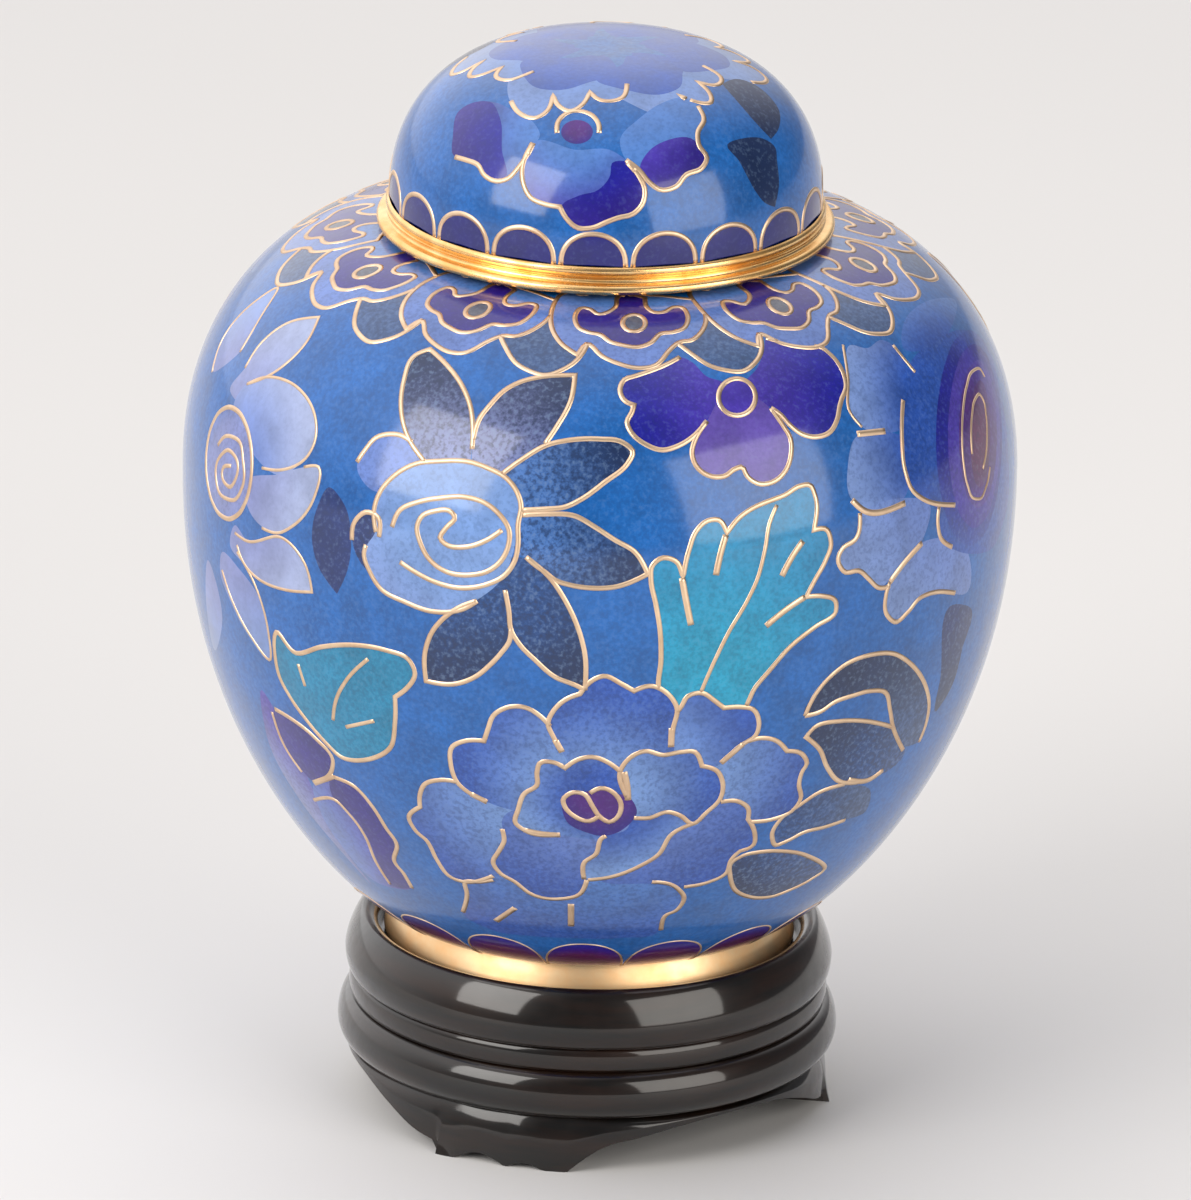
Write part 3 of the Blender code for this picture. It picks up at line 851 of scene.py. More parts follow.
peony = {
    "centre": (600, 800),
    "parts": [
        ("field", [(465, 882), (467, 894), (462, 910), (492, 930), (530, 936), (571, 938), (620, 938),
                   (660, 930), (665, 916), (677, 910), (684, 897), (677, 888), (652, 882), (600, 860),
                   (500, 860)], "skyBlue", "deepBlue", 0.4),
        ("field", [(500, 800), (487, 802), (471, 794), (457, 782), (440, 780), (424, 785), (420, 794),
                   (420, 807), (420, 807), (409, 816), (415, 830), (427, 841), (437, 860), (449, 876),
                   (465, 882), (493, 876), (530, 860), (530, 810)], "petalBlue", "deepBlue", 0.4),
        ("field", [(540, 810), (487, 802), (471, 794), (457, 782), (451, 766), (452, 747), (465, 741),
                   (484, 741), (484, 741), (488, 729), (493, 716), (509, 707), (527, 708), (540, 716),
                   (549, 724), (566, 755), (560, 800)], "petalBlue", "deepBlue", 0.4),
        ("field", [(660, 780), (668, 740), (673, 720), (681, 707), (687, 697), (702, 693), (715, 701),
                   (724, 708), (724, 708), (740, 707), (754, 710), (759, 722), (756, 735), (743, 744),
                   (721, 763), (700, 775)], "petalBlue", "deepBlue", 0.3),
        ("field", [(700, 780), (721, 763), (749, 741), (762, 738), (777, 741), (787, 751), (787, 751),
                   (802, 754), (807, 763), (802, 772), (799, 785), (801, 797), (793, 810), (774, 819),
                   (749, 822), (720, 815)], "petalBlue", "deepBlue", 0.4),
        ("field", [(590, 790), (562, 752), (554, 738), (548, 722), (552, 713), (565, 700), (580, 694),
                   (580, 694), (590, 682), (605, 676), (620, 683), (634, 691), (634, 691), (652, 686),
                   (668, 694), (677, 708), (675, 729), (671, 760), (640, 780)],
         "petalBlue", "deepBlue", 0.4),
        ("field", [(493, 860), (499, 872), (515, 882), (531, 894), (559, 899), (581, 893), (590, 878),
                   (610, 840), (560, 810), (502, 820), (504, 841)], "periwinkle", "deepBlue", 0.4),
        ("field", [(630, 815), (715, 800), (740, 802), (748, 808), (748, 819), (748, 819), (754, 830),
                   (754, 844), (740, 851), (740, 851), (731, 860), (727, 872), (709, 882), (684, 887),
                   (652, 884), (600, 880)], "periwinkle", "deepBlue", 0.4),
        ("field", [(634, 812), (681, 810), (700, 822), (671, 835), (659, 854), (640, 866), (615, 876),
                   (590, 879), (584, 879), (584, 863), (596, 854), (602, 838), (627, 829)],
         "deepBlue", "petalBlue", 0.3),
        ("field", [(627, 797), (620, 772), (624, 769), (631, 757), (646, 751), (662, 755), (681, 752),
                   (695, 752), (702, 766), (702, 766), (718, 772), (723, 785), (721, 797), (706, 813),
                   (692, 824), (681, 816), (668, 812), (649, 818), (634, 818)],
         "petalBlue", "deepBlue", 0.4),
        ("field", [(560, 835), (524, 830), (515, 822), (518, 810), (524, 794), (537, 785), (537, 772),
                   (540, 763), (552, 762), (565, 768), (565, 768), (577, 760), (593, 757), (609, 763),
                   (621, 772), (627, 799), (630, 820), (600, 838)], "deepBlue", "petalBlue", 0.4),
        ("field", [(563, 801), (571, 792), (584, 792), (602, 788), (615, 794), (626, 795), (637, 812),
                   (625, 828), (605, 836), (585, 832), (567, 822)], "plum", "purple", 0.2),
        ("wire", [(487, 802), (471, 794), (457, 782), (451, 766), (452, 747), (465, 741), (484, 741),
                  (484, 741), (488, 729), (493, 716), (509, 707), (527, 708), (540, 716), (550, 726)]),
        ("wire", [(457, 782), (440, 780), (424, 785), (420, 794), (420, 807), (420, 807), (409, 816),
                  (415, 830), (427, 841), (437, 860), (449, 876), (465, 882), (493, 876)]),
        ("wire", [(562, 752), (554, 738), (548, 722), (552, 713), (565, 700), (580, 694), (580, 694),
                  (590, 682), (605, 676), (620, 683), (634, 691), (634, 691), (652, 686), (668, 694),
                  (677, 708), (673, 729), (671, 747)]),
        ("wire", [(677, 712), (681, 707), (687, 697), (702, 693), (715, 701), (724, 708), (724, 708),
                  (740, 707), (754, 710), (759, 722), (756, 735), (743, 744), (721, 763)]),
        ("wire", [(749, 741), (762, 738), (777, 741), (787, 751), (787, 751), (802, 754), (807, 763),
                  (802, 772), (799, 785), (801, 797), (793, 810), (774, 819), (749, 822)]),
        ("wire", [(627, 797), (620, 772), (631, 757), (646, 751), (662, 755), (681, 752), (695, 752),
                  (702, 766), (702, 766), (718, 772), (723, 785), (721, 797), (706, 813), (692, 824),
                  (681, 816), (668, 812), (649, 818), (634, 818)]),
        ("wire", [(721, 802), (740, 802), (748, 808), (748, 819), (748, 819), (754, 830), (754, 844),
                  (740, 851), (740, 851), (731, 860), (727, 872), (709, 882), (684, 887)]),
        ("wire", [(692, 824), (671, 835), (659, 854), (640, 866), (615, 876), (588, 880)]),
        ("wire", [(606, 836), (602, 838), (596, 854), (584, 863), (584, 879)]),
        ("wire", [(560, 835), (524, 830), (515, 822), (518, 810), (524, 794), (537, 785), (537, 772),
                  (540, 763), (552, 762), (565, 768), (565, 768), (577, 760), (593, 757), (609, 763),
                  (621, 772)]),
        ("wire", [(502, 829), (504, 841), (499, 851), (493, 862), (499, 872), (515, 882), (531, 894),
                  (559, 899), (581, 893), (587, 880)]),
        ("wire", [(493, 880), (480, 882), (465, 882), (467, 894), (463, 912)]),
        ("wire", [(652, 882), (677, 888), (684, 897), (677, 910), (665, 916), (661, 930)]),
        ("wire", [(599, 816), (590, 821), (574, 816), (565, 807), (563, 800), (571, 793), (584, 794),
                  (593, 807), (599, 816), (610, 822), (619, 815), (621, 804), (615, 794), (602, 788),
                  (590, 793)]),
        ("wire", [(624, 772), (627, 785), (628, 800)], tickWidth),
        ("wire", [(524, 830), (545, 834), (560, 835)], tickWidth),
        ("wire", [(471, 794), (487, 802)], tickWidth),
        ("wire", [(555, 740), (562, 752)], tickWidth),
        ("wire", [(672, 728), (671, 747)], tickWidth),
        ("wire", [(496, 921), (515, 908)], tickWidth),
        ("wire", [(571, 926), (571, 904)], tickWidth),
        ("wire", [(721, 763), (743, 744)], tickWidth),
    ],
}

leavesRight = {
    "centre": (880, 780),
    "parts": [
        ("field", [(805, 715), (815, 695), (830, 677), (850, 662), (870, 655), (895, 654), (912, 665),
                   (924, 682), (929, 702), (927, 720), (921, 740), (901, 746), (892, 725), (888, 700),
                   (880, 692), (855, 695), (835, 702), (820, 712), (807, 717)],
         "greyBlue", "slate", 0.7),
        ("field", [(806, 737), (806, 737), (815, 727), (840, 721), (865, 721), (890, 727), (905, 748),
                   (865, 781), (837, 780), (827, 767), (820, 750)], "slateLight", "slate", 0.8),
        ("field", [(775, 845), (772, 835), (780, 820), (800, 805), (820, 792), (845, 784), (870, 790),
                   (865, 812), (845, 820), (825, 827), (805, 832)], "greyBlue", "slateLight", 0.7),
        ("wire", [(805, 716), (815, 695), (830, 677), (850, 662), (870, 655), (895, 654), (912, 665),
                  (924, 682), (929, 702), (927, 720), (919, 742)]),
        ("wire", [(805, 716), (820, 712), (835, 702), (855, 695), (870, 691), (885, 692), (890, 710),
                  (893, 727), (903, 750)]),
        ("wire", [(893, 727), (865, 721), (840, 721), (815, 727), (806, 737), (806, 737), (820, 750),
                  (827, 767), (837, 780), (865, 781)]),
        ("wire", [(845, 784), (820, 792), (800, 805), (780, 820), (772, 835), (775, 845), (785, 842),
                  (805, 832), (825, 827), (845, 820)]),
        ("cell", [(735, 890), (730, 875), (730, 865), (740, 857), (760, 852), (780, 851), (805, 855),
                  (825, 868), (810, 880), (790, 890), (770, 897), (750, 897)],
         "slateLight", "slate", 0.9),
        ("wire", [(848, 780), (865, 781), (883, 770)], tickWidth),
    ],
}

bloomRight = {
    "centre": (978, 440),
    "parts": [
        ("field", [(850, 345), (868, 348), (880, 340), (900, 352), (910, 385), (900, 430), (862, 427),
                   (850, 412), (848, 378)], "deepBlue", "paleBlue", 0.3),
        ("field", [(910, 440), (895, 507), (865, 510), (852, 500), (848, 465), (855, 438)],
         "deepBlue", "paleBlue", 0.3),
        ("field", [(930, 505), (920, 545), (893, 575), (882, 586), (868, 577), (860, 571), (845, 572),
                   (838, 562), (843, 548), (853, 543), (860, 515)], "periwinkle", "paleBlue", 0.3),
        ("field", [(960, 540), (925, 541), (892, 580), (886, 595), (887, 615), (895, 622), (908, 612),
                   (920, 598), (936, 592), (965, 594)], "periwinkle", "paleBlue", 0.3),
        ("field", [(905, 320), (930, 300), (955, 300), (950, 330), (925, 350), (905, 350)],
         "deepBlue", "skyBlue", 0.3),
        ("field", [(912, 360), (935, 340), (965, 330), (985, 345), (1000, 390), (1008, 450),
                   (1004, 520), (990, 550), (960, 552), (942, 540), (938, 512), (914, 490),
                   (905, 460), (904, 400)], "deepBlue", "deepBlue", 0.4),
        ("field", arcPixels(969, 438, 33, 108), "indigo", "deepBlue", 0.4),
        ("field", arcPixels(974, 436, 26, 92), "iris", "indigo", 0.4),
        ("field", arcPixels(978, 434, 19, 74), "plum", "iris", 0.4),
        ("field", arcPixels(980, 434, 10, 54), "wine", "plum", 0.4),
        ("field", [(958, 604), (968, 606), (962, 650), (950, 690), (935, 712), (940, 680)],
         "night", "slate", 0.6),
        ("wire", [(903, 400), (902, 440), (905, 470), (914, 492), (925, 500), (955, 505)]),
        ("wire", [(939, 507), (938, 525), (942, 540), (952, 547)]),
        ("wire", arcPixels(977, 434, 15, 66, 60, 330, 12), dimWidth),
        ("wire", arcPixels(979, 434, 8, 40, -60, 210, 10), dimWidth),
        ("wire", [(843, 345), (848, 378), (850, 412), (862, 427)], dimWidth),
        ("wire", [(852, 500), (865, 511), (905, 503)], tickWidth),
        ("wire", [(857, 434), (885, 431)], tickWidth),
        ("wire", [(860, 513), (855, 540), (843, 548), (838, 560), (845, 572), (860, 571), (868, 578),
                  (880, 588), (890, 586)]),
        ("wire", [(922, 543), (905, 562), (890, 582)], tickWidth),
        ("wire", [(890, 582), (886, 595), (887, 615), (895, 622), (908, 612), (920, 598), (936, 592),
                  (955, 593)]),
        ("wire", [(893, 345), (905, 360), (915, 372)], veinWidth),
    ],
}

bloomLeft = {
    "centre": (229, 468),
    "parts": [
        ("field", [(212, 372), (222, 340), (245, 310), (278, 288), (262, 315), (240, 352)],
         "lavender", "paleBlue", 0.1),
        ("field", [(230, 390), (245, 368), (262, 342), (290, 322), (319, 317), (319, 317), (308, 340),
                   (288, 362), (268, 378), (250, 410)], "lavender", "white", 0.1),
        ("field", [(235, 400), (247, 384), (267, 377), (291, 383), (307, 398), (316, 421), (314, 444),
                   (304, 460), (280, 475), (250, 450)], "periwinkle", "white", 0.1),
        ("field", [(247, 480), (280, 474), (300, 468), (317, 466), (314, 498), (294, 525), (277, 533),
                   (260, 525), (247, 505)], "lavender", "white", 0.1),
        ("field", [(222, 552), (240, 570), (260, 599), (270, 642), (269, 660), (248, 635), (230, 600),
                   (220, 570)], "lavender", "paleBlue", 0.1),
        ("field", [(235, 525), (247, 540), (280, 537), (304, 562), (312, 592), (312, 592), (286, 590),
                   (260, 580), (245, 565), (230, 545)], "lavender", "white", 0.1),
        ("field", [(208, 560), (218, 590), (222, 625), (216, 650), (206, 600)],
         "lavender", "paleBlue", 0.1),
        ("cell", arcPixels(229, 463, 23, 56), "lavender", "periwinkle", 0.3),
        ("wire", [(245, 368), (262, 342), (290, 322), (319, 317), (319, 317), (308, 340), (288, 362),
                  (268, 376), (247, 384)], dimWidth),
        ("wire", [(247, 384), (267, 377), (291, 383), (307, 398), (316, 421), (314, 444), (304, 460),
                  (280, 470), (262, 468)], dimWidth),
        ("wire", [(304, 467), (317, 466), (314, 498), (294, 525), (277, 533), (262, 528)], dimWidth),
        ("wire", [(235, 533), (247, 541), (280, 537), (304, 562), (312, 592), (312, 592), (286, 590),
                  (260, 580), (245, 565), (237, 545)], dimWidth),
        ("wire", [(237, 552), (255, 585), (268, 630), (270, 660), (250, 635), (232, 600), (222, 570)], dimWidth),
        ("wire", [(212, 372), (222, 340), (245, 310), (278, 288), (262, 315), (240, 352)], dimWidth),
        ("wire", [(218, 445), (226, 436), (238, 440), (243, 460), (242, 488), (234, 500), (222, 496),
                  (216, 478), (219, 458), (228, 450), (236, 458), (236, 478), (230, 487), (223, 480),
                  (225, 466), (231, 466)], veinWidth),
    ],
}

tealLeaf = {
    "centre": (290, 650),
    "parts": [
        ("cell", [(277, 632), (296, 653), (321, 647), (354, 645), (385, 650), (409, 660), (415, 674),
                  (405, 690), (395, 697), (395, 697), (395, 722), (390, 748), (365, 760), (341, 757),
                  (328, 745), (308, 722), (292, 700), (278, 672)], "teal", "teal", 0.3),
        ("wire", [(368, 659), (348, 678), (336, 700), (333, 720)], veinWidth),
        ("wire", [(346, 727), (374, 721)], veinWidth),
        ("wire", [(298, 664), (305, 686)], veinWidth),
    ],
}

peonyLeft = {
    "centre": (290, 840),
    "parts": [
        ("field", [(262, 690), (276, 712), (300, 760), (318, 800), (345, 850), (372, 885), (340, 850),
                   (300, 800), (268, 740)], "lavender", "iris", 0.4),
        ("field", [(314, 783), (334, 776), (355, 787), (372, 806), (386, 828), (396, 846), (396, 860),
                   (412, 888), (380, 884), (345, 850), (320, 810)], "periwinkle", "iris", 0.3),
        ("field", [(275, 709), (290, 718), (315, 738), (334, 762), (332, 775), (316, 782), (300, 768),
                   (284, 742)], "purple", "purple", 0.3),
        ("field", [(330, 780), (355, 787), (372, 806), (386, 828), (396, 846), (396, 860), (412, 888),
                   (393, 886), (378, 862), (368, 838), (352, 815), (334, 800)],
         "purple", "purple", 0.3),
        ("wire", [(275, 709), (290, 718), (315, 738), (333, 762), (330, 774), (314, 783)]),
        ("wire", [(334, 777), (355, 787), (372, 806), (386, 828), (397, 846), (394, 860), (404, 874),
                  (412, 888)]),
        ("wire", [(314, 783), (334, 776)], tickWidth),
        ("wire", [(314, 800), (330, 798), (350, 815), (366, 838), (375, 860), (390, 884)], veinWidth),
        ("wire", [(272, 712), (284, 745), (302, 772)], veinWidth),
    ],
}

# One of the six petals round the lid's top: three lobes, deep blue inside and pale at the rim.
apexPetal = {
    "centre": (610, 46),
    "parts": [
        ("field", [(512, 72), (508, 95), (517, 111), (535, 118), (548, 110), (553, 95), (553, 95),
                   (558, 105), (570, 111), (583, 104), (590, 92), (590, 92), (598, 99), (611, 101),
                   (624, 96), (627, 84), (627, 84), (618, 68), (600, 62), (570, 62), (540, 64)],
         "skyBlue", "paleBlue", 0.2),
        ("field", [(520, 66), (530, 84), (560, 90), (590, 82), (618, 72), (610, 58), (570, 58)],
         "deepBlue", "deepBlue", 0.2),
        ("wire", [(511, 101), (517, 111), (535, 118), (548, 110), (553, 95), (553, 95),
                  (558, 105), (570, 111), (583, 104), (590, 92), (590, 92), (598, 99), (611, 101),
                  (624, 96), (627, 84)]),
    ],
}

lidFlower = {
    "centre": (577, 128),
    "parts": [
        ("field", [(540, 135), (527, 151), (518, 166), (507, 178), (495, 181), (484, 175), (478, 165),
                   (466, 160), (454, 156), (453, 135), (458, 112), (472, 103), (497, 103), (515, 112),
                   (533, 122)], "skyBlue", "purple", 0.2),
        ("field", [(455, 156), (453, 135), (458, 112), (472, 103), (492, 103), (500, 118), (502, 150),
                   (505, 178), (490, 180), (480, 168)], "indigo", "purple", 0.2),
        ("field", [(626, 160), (642, 172), (649, 182), (661, 190), (677, 186), (686, 175), (702, 168),
                   (707, 158), (700, 145), (698, 132), (703, 120), (699, 107), (686, 98), (660, 104),
                   (640, 118), (620, 140)], "skyBlue", "skyBlue", 0.2),
        ("field", [(640, 170), (649, 182), (661, 190), (677, 186), (686, 175), (702, 168), (707, 158),
                   (700, 145), (690, 138), (668, 140), (650, 150)], "iris", "purple", 0.2),
        ("field", [(533, 143), (527, 153), (522, 168), (524, 186), (531, 198), (544, 204), (560, 207),
                   (560, 207), (566, 218), (576, 227), (590, 228), (606, 222), (628, 216), (640, 207),
                   (645, 192), (639, 176), (628, 162), (610, 150), (577, 150)],
         "skyBlue", "iris", 0.2),
        ("field", [(612, 163), (628, 162), (639, 176), (645, 192), (640, 207), (628, 216), (606, 222),
                   (590, 228), (576, 227), (566, 216), (562, 206), (578, 196), (598, 190), (610, 176)],
         "indigo", "purple", 0.2),
        ("wire", [(533, 143), (527, 155), (518, 168), (507, 179), (495, 181), (484, 175), (478, 165),
                  (466, 160), (455, 157)]),
        ("wire", [(626, 160), (640, 171), (649, 182), (661, 190), (677, 186), (686, 175), (702, 168),
                  (707, 158), (699, 145), (698, 132), (704, 120), (698, 106)]),
        ("wire", [(533, 143), (526, 155), (522, 170), (524, 186), (531, 198), (544, 204), (560, 207),
                  (560, 207), (566, 218), (578, 228), (592, 228), (607, 222), (618, 218), (633, 214),
                  (643, 203), (645, 190), (639, 176), (628, 162)]),
        ("wire", [(557, 133), (558, 122), (567, 113), (580, 111), (593, 116), (599, 125), (599, 133)]),
        ("field", arcPixels(577, 132, 16, 12), "plum", "purple", 0.2),
        ("wire", [(533, 143), (527, 155)], tickWidth),
        ("wire", [(628, 162), (636, 171)], tickWidth),
    ],
}

lidLeaves = {
    "centre": (720, 125),
    "parts": [
        ("field", [(722, 84), (722, 84), (735, 79), (749, 82), (768, 95), (780, 114), (778, 130),
                   (771, 139), (771, 139), (755, 122), (742, 107)], "slate", "slate", 0.5),
        ("field", [(727, 145), (745, 138), (764, 139), (775, 147), (777, 161), (779, 185), (775, 207),
                   (775, 207), (765, 203), (758, 195), (748, 178), (739, 161)], "slate", "slate", 0.5),
    ],
}

footScallops = {
    "count": 18,
    "firstBearing": -11.0,
    "share": 0.97,
    "level": bodyBase,
    "height": 3.5,
    "near": "wine",
    "far": "indigo",
    "width": 0.16,
}
lidScallops = {
    "count": 19,
    "firstBearing": 6.45,
    "share": 0.9,
    "level": domeBase,
    "height": 2.6,
    "near": "violet",
    "far": "violet",
    "width": 0.42,
}

enamel = enamelFinish()
wireGilt = giltFinish("wire_gilt", (0.86, 0.64, 0.44), (0.68, 0.48, 0.32), 0.32, 0.48)
bandGilt = giltFinish("band_gilt", (1.0, 0.70, 0.34), (0.88, 0.50, 0.17), 0.2, 0.32)
footGilt = giltFinish("foot_gilt", (1.0, 0.72, 0.42), (1.0, 0.62, 0.30), 0.4, 0.5)
lacquer = lacquerFinish()
wireProud, wireSunk = 0.05, 0.12

bodyDrawing = newDrawing(bodySkin)
drawMotif(bodyDrawing, tealLeaf, sideCopies)
for motif in (purpleFlower, rose, turquoiseLeaf, leavesRight, bloomRight, bloomLeft, tealLeaf,
              peonyLeft, peony):
    drawMotif(bodyDrawing, motif, frontAndBack)
drawMotif(bodyDrawing, halfLobe, ruyiCopies)
drawMotif(bodyDrawing, cloudHead, ruyiCopies)
addScallops(bodyDrawing, footScallops)
cavityRadius = bellyRadius - wall["vessel"]
boreRadius = body["neckRadius"] - wall["neck"]
cavityFloor = bodyBase + wall["vessel"]
cavityHigh = quarterCurve(boreRadius, cavityRadius, bellyLevel, neckRoot - wall["vessel"], upperPowers,
                          body["cavitySteps"])
cavityLow = quarterCurve(footRadius, cavityRadius, bellyLevel, cavityFloor, lowerPowers,
                         body["cavitySteps"])
mouthSection = (
    np.concatenate([[body["neckRadius"], boreRadius], cavityHigh[0][::-1], cavityLow[0][1:]]),
    np.concatenate([[neckTop, neckTop], cavityHigh[1][::-1], cavityLow[1][1:]]))
undersideSection = (np.array([0.5 * footRadius]), np.array([bodyBase]))
bodyMesh = enamelMesh(bodyDrawing, "enamel_body", body["columns"], False,
                      [(-1, mouthSection, cavityFloor), (0, undersideSection, bodyBase)])
addPiece(bodyMesh, enamel, "urn_body")
addPiece(wireMesh(bodyDrawing, "body_wires", wireProud, wireSunk), wireGilt)
print("stage: vessel drawn,", len(bodyMesh.polygons), "faces")

lid = {"wall": 1.45, "columns": 168, "insideSteps": 12}
lidDrawing = newDrawing(lidSkin)
drawMotif(lidDrawing, apexPetal, apexCopies)
for motif in (lidFlower, lidLeaves):
    drawMotif(lidDrawing, motif, frontAndBack)
addScallops(lidDrawing, lidScallops)
lidBore = domeRadius - lid["wall"]
insideRadii, insideHeights = quarterCurve(0.0, lidBore, domeBase, domeTop - lid["wall"], domePowers,
                                          lid["insideSteps"])
lidMesh = enamelMesh(lidDrawing, "enamel_lid", lid["columns"], True,
                     [(0, (insideRadii[:-1], insideHeights[:-1]), insideHeights[-1])])
addPiece(lidMesh, enamel, "lid")
addPiece(wireMesh(lidDrawing, "lid_wires", wireProud, wireSunk), wireGilt)
print("stage: lid drawn,", len(lidMesh.polygons), "faces")


# A turned piece: the rings of a section, each point of which may depend on the bearing. Rings that
# lie on the axis become one pole.
def turnedMesh(name, radii, levels, columns, closedSection, shape=None):
    angles = np.arange(columns) * fullTurn / columns
    radius = np.repeat(np.asarray(radii, float)[:, None], columns, axis=1)
    level = np.repeat(np.asarray(levels, float)[:, None], columns, axis=1)
    if shape:
        radius, level = shape(radius, level, angles)
    points = np.stack([radius * np.cos(angles), radius * np.sin(angles), level], axis=-1)
    index = np.arange(len(radii) * columns).reshape(len(radii), columns)
    low = index if closedSection else index[:-1]
    high = np.roll(index, -1, axis=0) if closedSection else index[1:]
    quads = np.stack([low, np.roll(low, -1, axis=1), np.roll(high, -1, axis=1), high], axis=-1)
    fans = []
    if not closedSection:
        poles = np.array([[0.0, 0.0, levels[0]], [0.0, 0.0, levels[-1]]])
        firstPole, lastPole = index.size, index.size + 1
        first, last = index[0], index[-1]
        fans = [np.stack([np.roll(first, -1), first, np.full(columns, firstPole)], axis=-1),
                np.stack([last, np.roll(last, -1), np.full(columns, lastPole)], axis=-1)]
        points = np.concatenate([points.reshape(-1, 3), poles])
    else:
        points = points.reshape(-1, 3)
    mesh = meshFromArrays(name, points, [quads.reshape(-1, 4), *fans])
    mesh.set_sharp_from_angle(angle=np.radians(40))
    return mesh


# Points on an elliptic arc of a section, with angles in degrees up from the outward direction.
def sectionArc(radius, level, wide, high, start, end, count):
    angle = np.radians(np.linspace(start, end, count))
    return np.column_stack([radius + wide * np.cos(angle), level + high * np.sin(angle)])


rimBase, rimTop, rimRadius = nodeSizes("lid_rim")
rim = {"lipRound": 0.38, "beadRound": 0.4, "cove": 0.25, "columns": 256}
lipLevel = rimBase + rim["lipRound"]
beadLevel = domeBase - rim["beadRound"]
rimSection = np.concatenate([
    [[lidBore, rimBase]],
    sectionArc(rimRadius - rim["lipRound"], lipLevel, rim["lipRound"], rim["lipRound"], -90, 80, 12),
    sectionArc(domeRadius + 0.35, rimBase + 1.02, rim["cove"], rim["cove"], 250, 120, 8),
    sectionArc(domeRadius + 0.25 - rim["beadRound"], beadLevel, rim["beadRound"], rim["beadRound"],
               -60, 90, 10),
    [[lidBore, domeBase]],
])
rimMesh = turnedMesh("gilt_rim", rimSection[:, 0], rimSection[:, 1], rim["columns"], True)
addPiece(rimMesh, bandGilt, "lid_rim")

footRing = {"wall": 1.4, "round": 0.25, "slant": 0.75, "columns": 256}
edge = footRing["round"]
footSection = np.concatenate([
    [[footRadius - footRing["wall"], ringBase]],
    sectionArc(footRadius - edge, ringBase + edge, edge, edge, -90, 20, 6),
    sectionArc(footRadius - edge - footRing["slant"], bodyBase - edge, edge, edge, 20, 90, 6),
    [[footRadius - footRing["wall"], bodyBase]],
])
footMesh = turnedMesh("gilt_foot_ring", footSection[:, 0], footSection[:, 1], footRing["columns"], True)
addPiece(footMesh, footGilt, "foot_ring")
print("stage: gilt rings turned")

# The skirt's lower edge is given for one foot and the arch after it, as bearings from the foot's
# hook and levels.
stand = {
    "skirtHeight": 4.4,
    "skirtShoulder": 2.2,
    "shoulderPowers": (1.35, 1.35),
    "lowerGroove": 8.3,
    "upperGroove": 10.2,
    "recessDepth": 1.8,
    "recessRadius": 16.7,
    "lipCrest": 1.25,
    "lipRadius": 19.35,
    "lipDrop": 3.1,
    "lipPowers": (1.4, 1.4),
    "grooveDepth": 0.65,
    "beadRadius": 19.0,
    "torusRadius": 19.85,
    "torusLevel": 6.1,
    "skirtRadius": 19.05,
    "skirtBore": 14.25,
    "boardUnderside": 9.0,
    "footCount": 3,
    "hookBearing": -37.0,
    "edgeLine": [(0.0, 0.0), (5.0, 0.0), (5.0, 0.0), (11.0, 0.75), (18.0, 0.0), (18.0, 0.0), (23.0, 0.45),
                 (28.0, 0.0), (33.0, 0.0), (33.0, 0.0), (41.0, 2.0), (51.0, 2.9), (62.0, 3.6),
                 (80.0, 3.9), (92.0, 3.5), (102.0, 2.5), (113.0, 1.2), (118.0, 0.9), (118.0, 0.9),
                 (120.0, 0.0)],
    "toeFlare": 0.1,
    "hookFlare": 0.45,
    "hookAngle": 6.0,
    "flarePower": 2.4,
    "columns": 480,
}


# Bearings counted on from the hook of the foot below them, in degrees.
def fromHook(bearings):
    return (bearings - stand["hookBearing"]) % (360.0 / stand["footCount"])


# Draws the skirt's rings down to its lower edge, and flares its outer face out to the toes by the
# depth share to a power, most of all at the hooks: exp of minus (bearing / hook's angle) squared.
def shapeSkirt(radius, level, angles):
    along = fromHook(np.degrees(angles) + 90.0)
    edgeLine, _ = smoothLine(stand["edgeLine"], False)
    height = stand["skirtHeight"]
    drop = np.clip(1.0 - level / height, 0.0, 1.0)
    edge = np.maximum(np.interp(along, edgeLine[:, 0], edgeLine[:, 1]), 0.0)
    lowered = np.where(level < height, height - drop * (height - edge), level)
    flare = stand["toeFlare"] + stand["hookFlare"] * np.exp(-(along / stand["hookAngle"]) ** 2)
    reach = np.clip(1.0 - lowered / height, 0.0, 1.0) ** stand["flarePower"] * flare
    outer = radius > 0.5 * (stand["skirtRadius"] + stand["skirtBore"])
    return np.where((level < height) & outer, radius + reach, radius), lowered


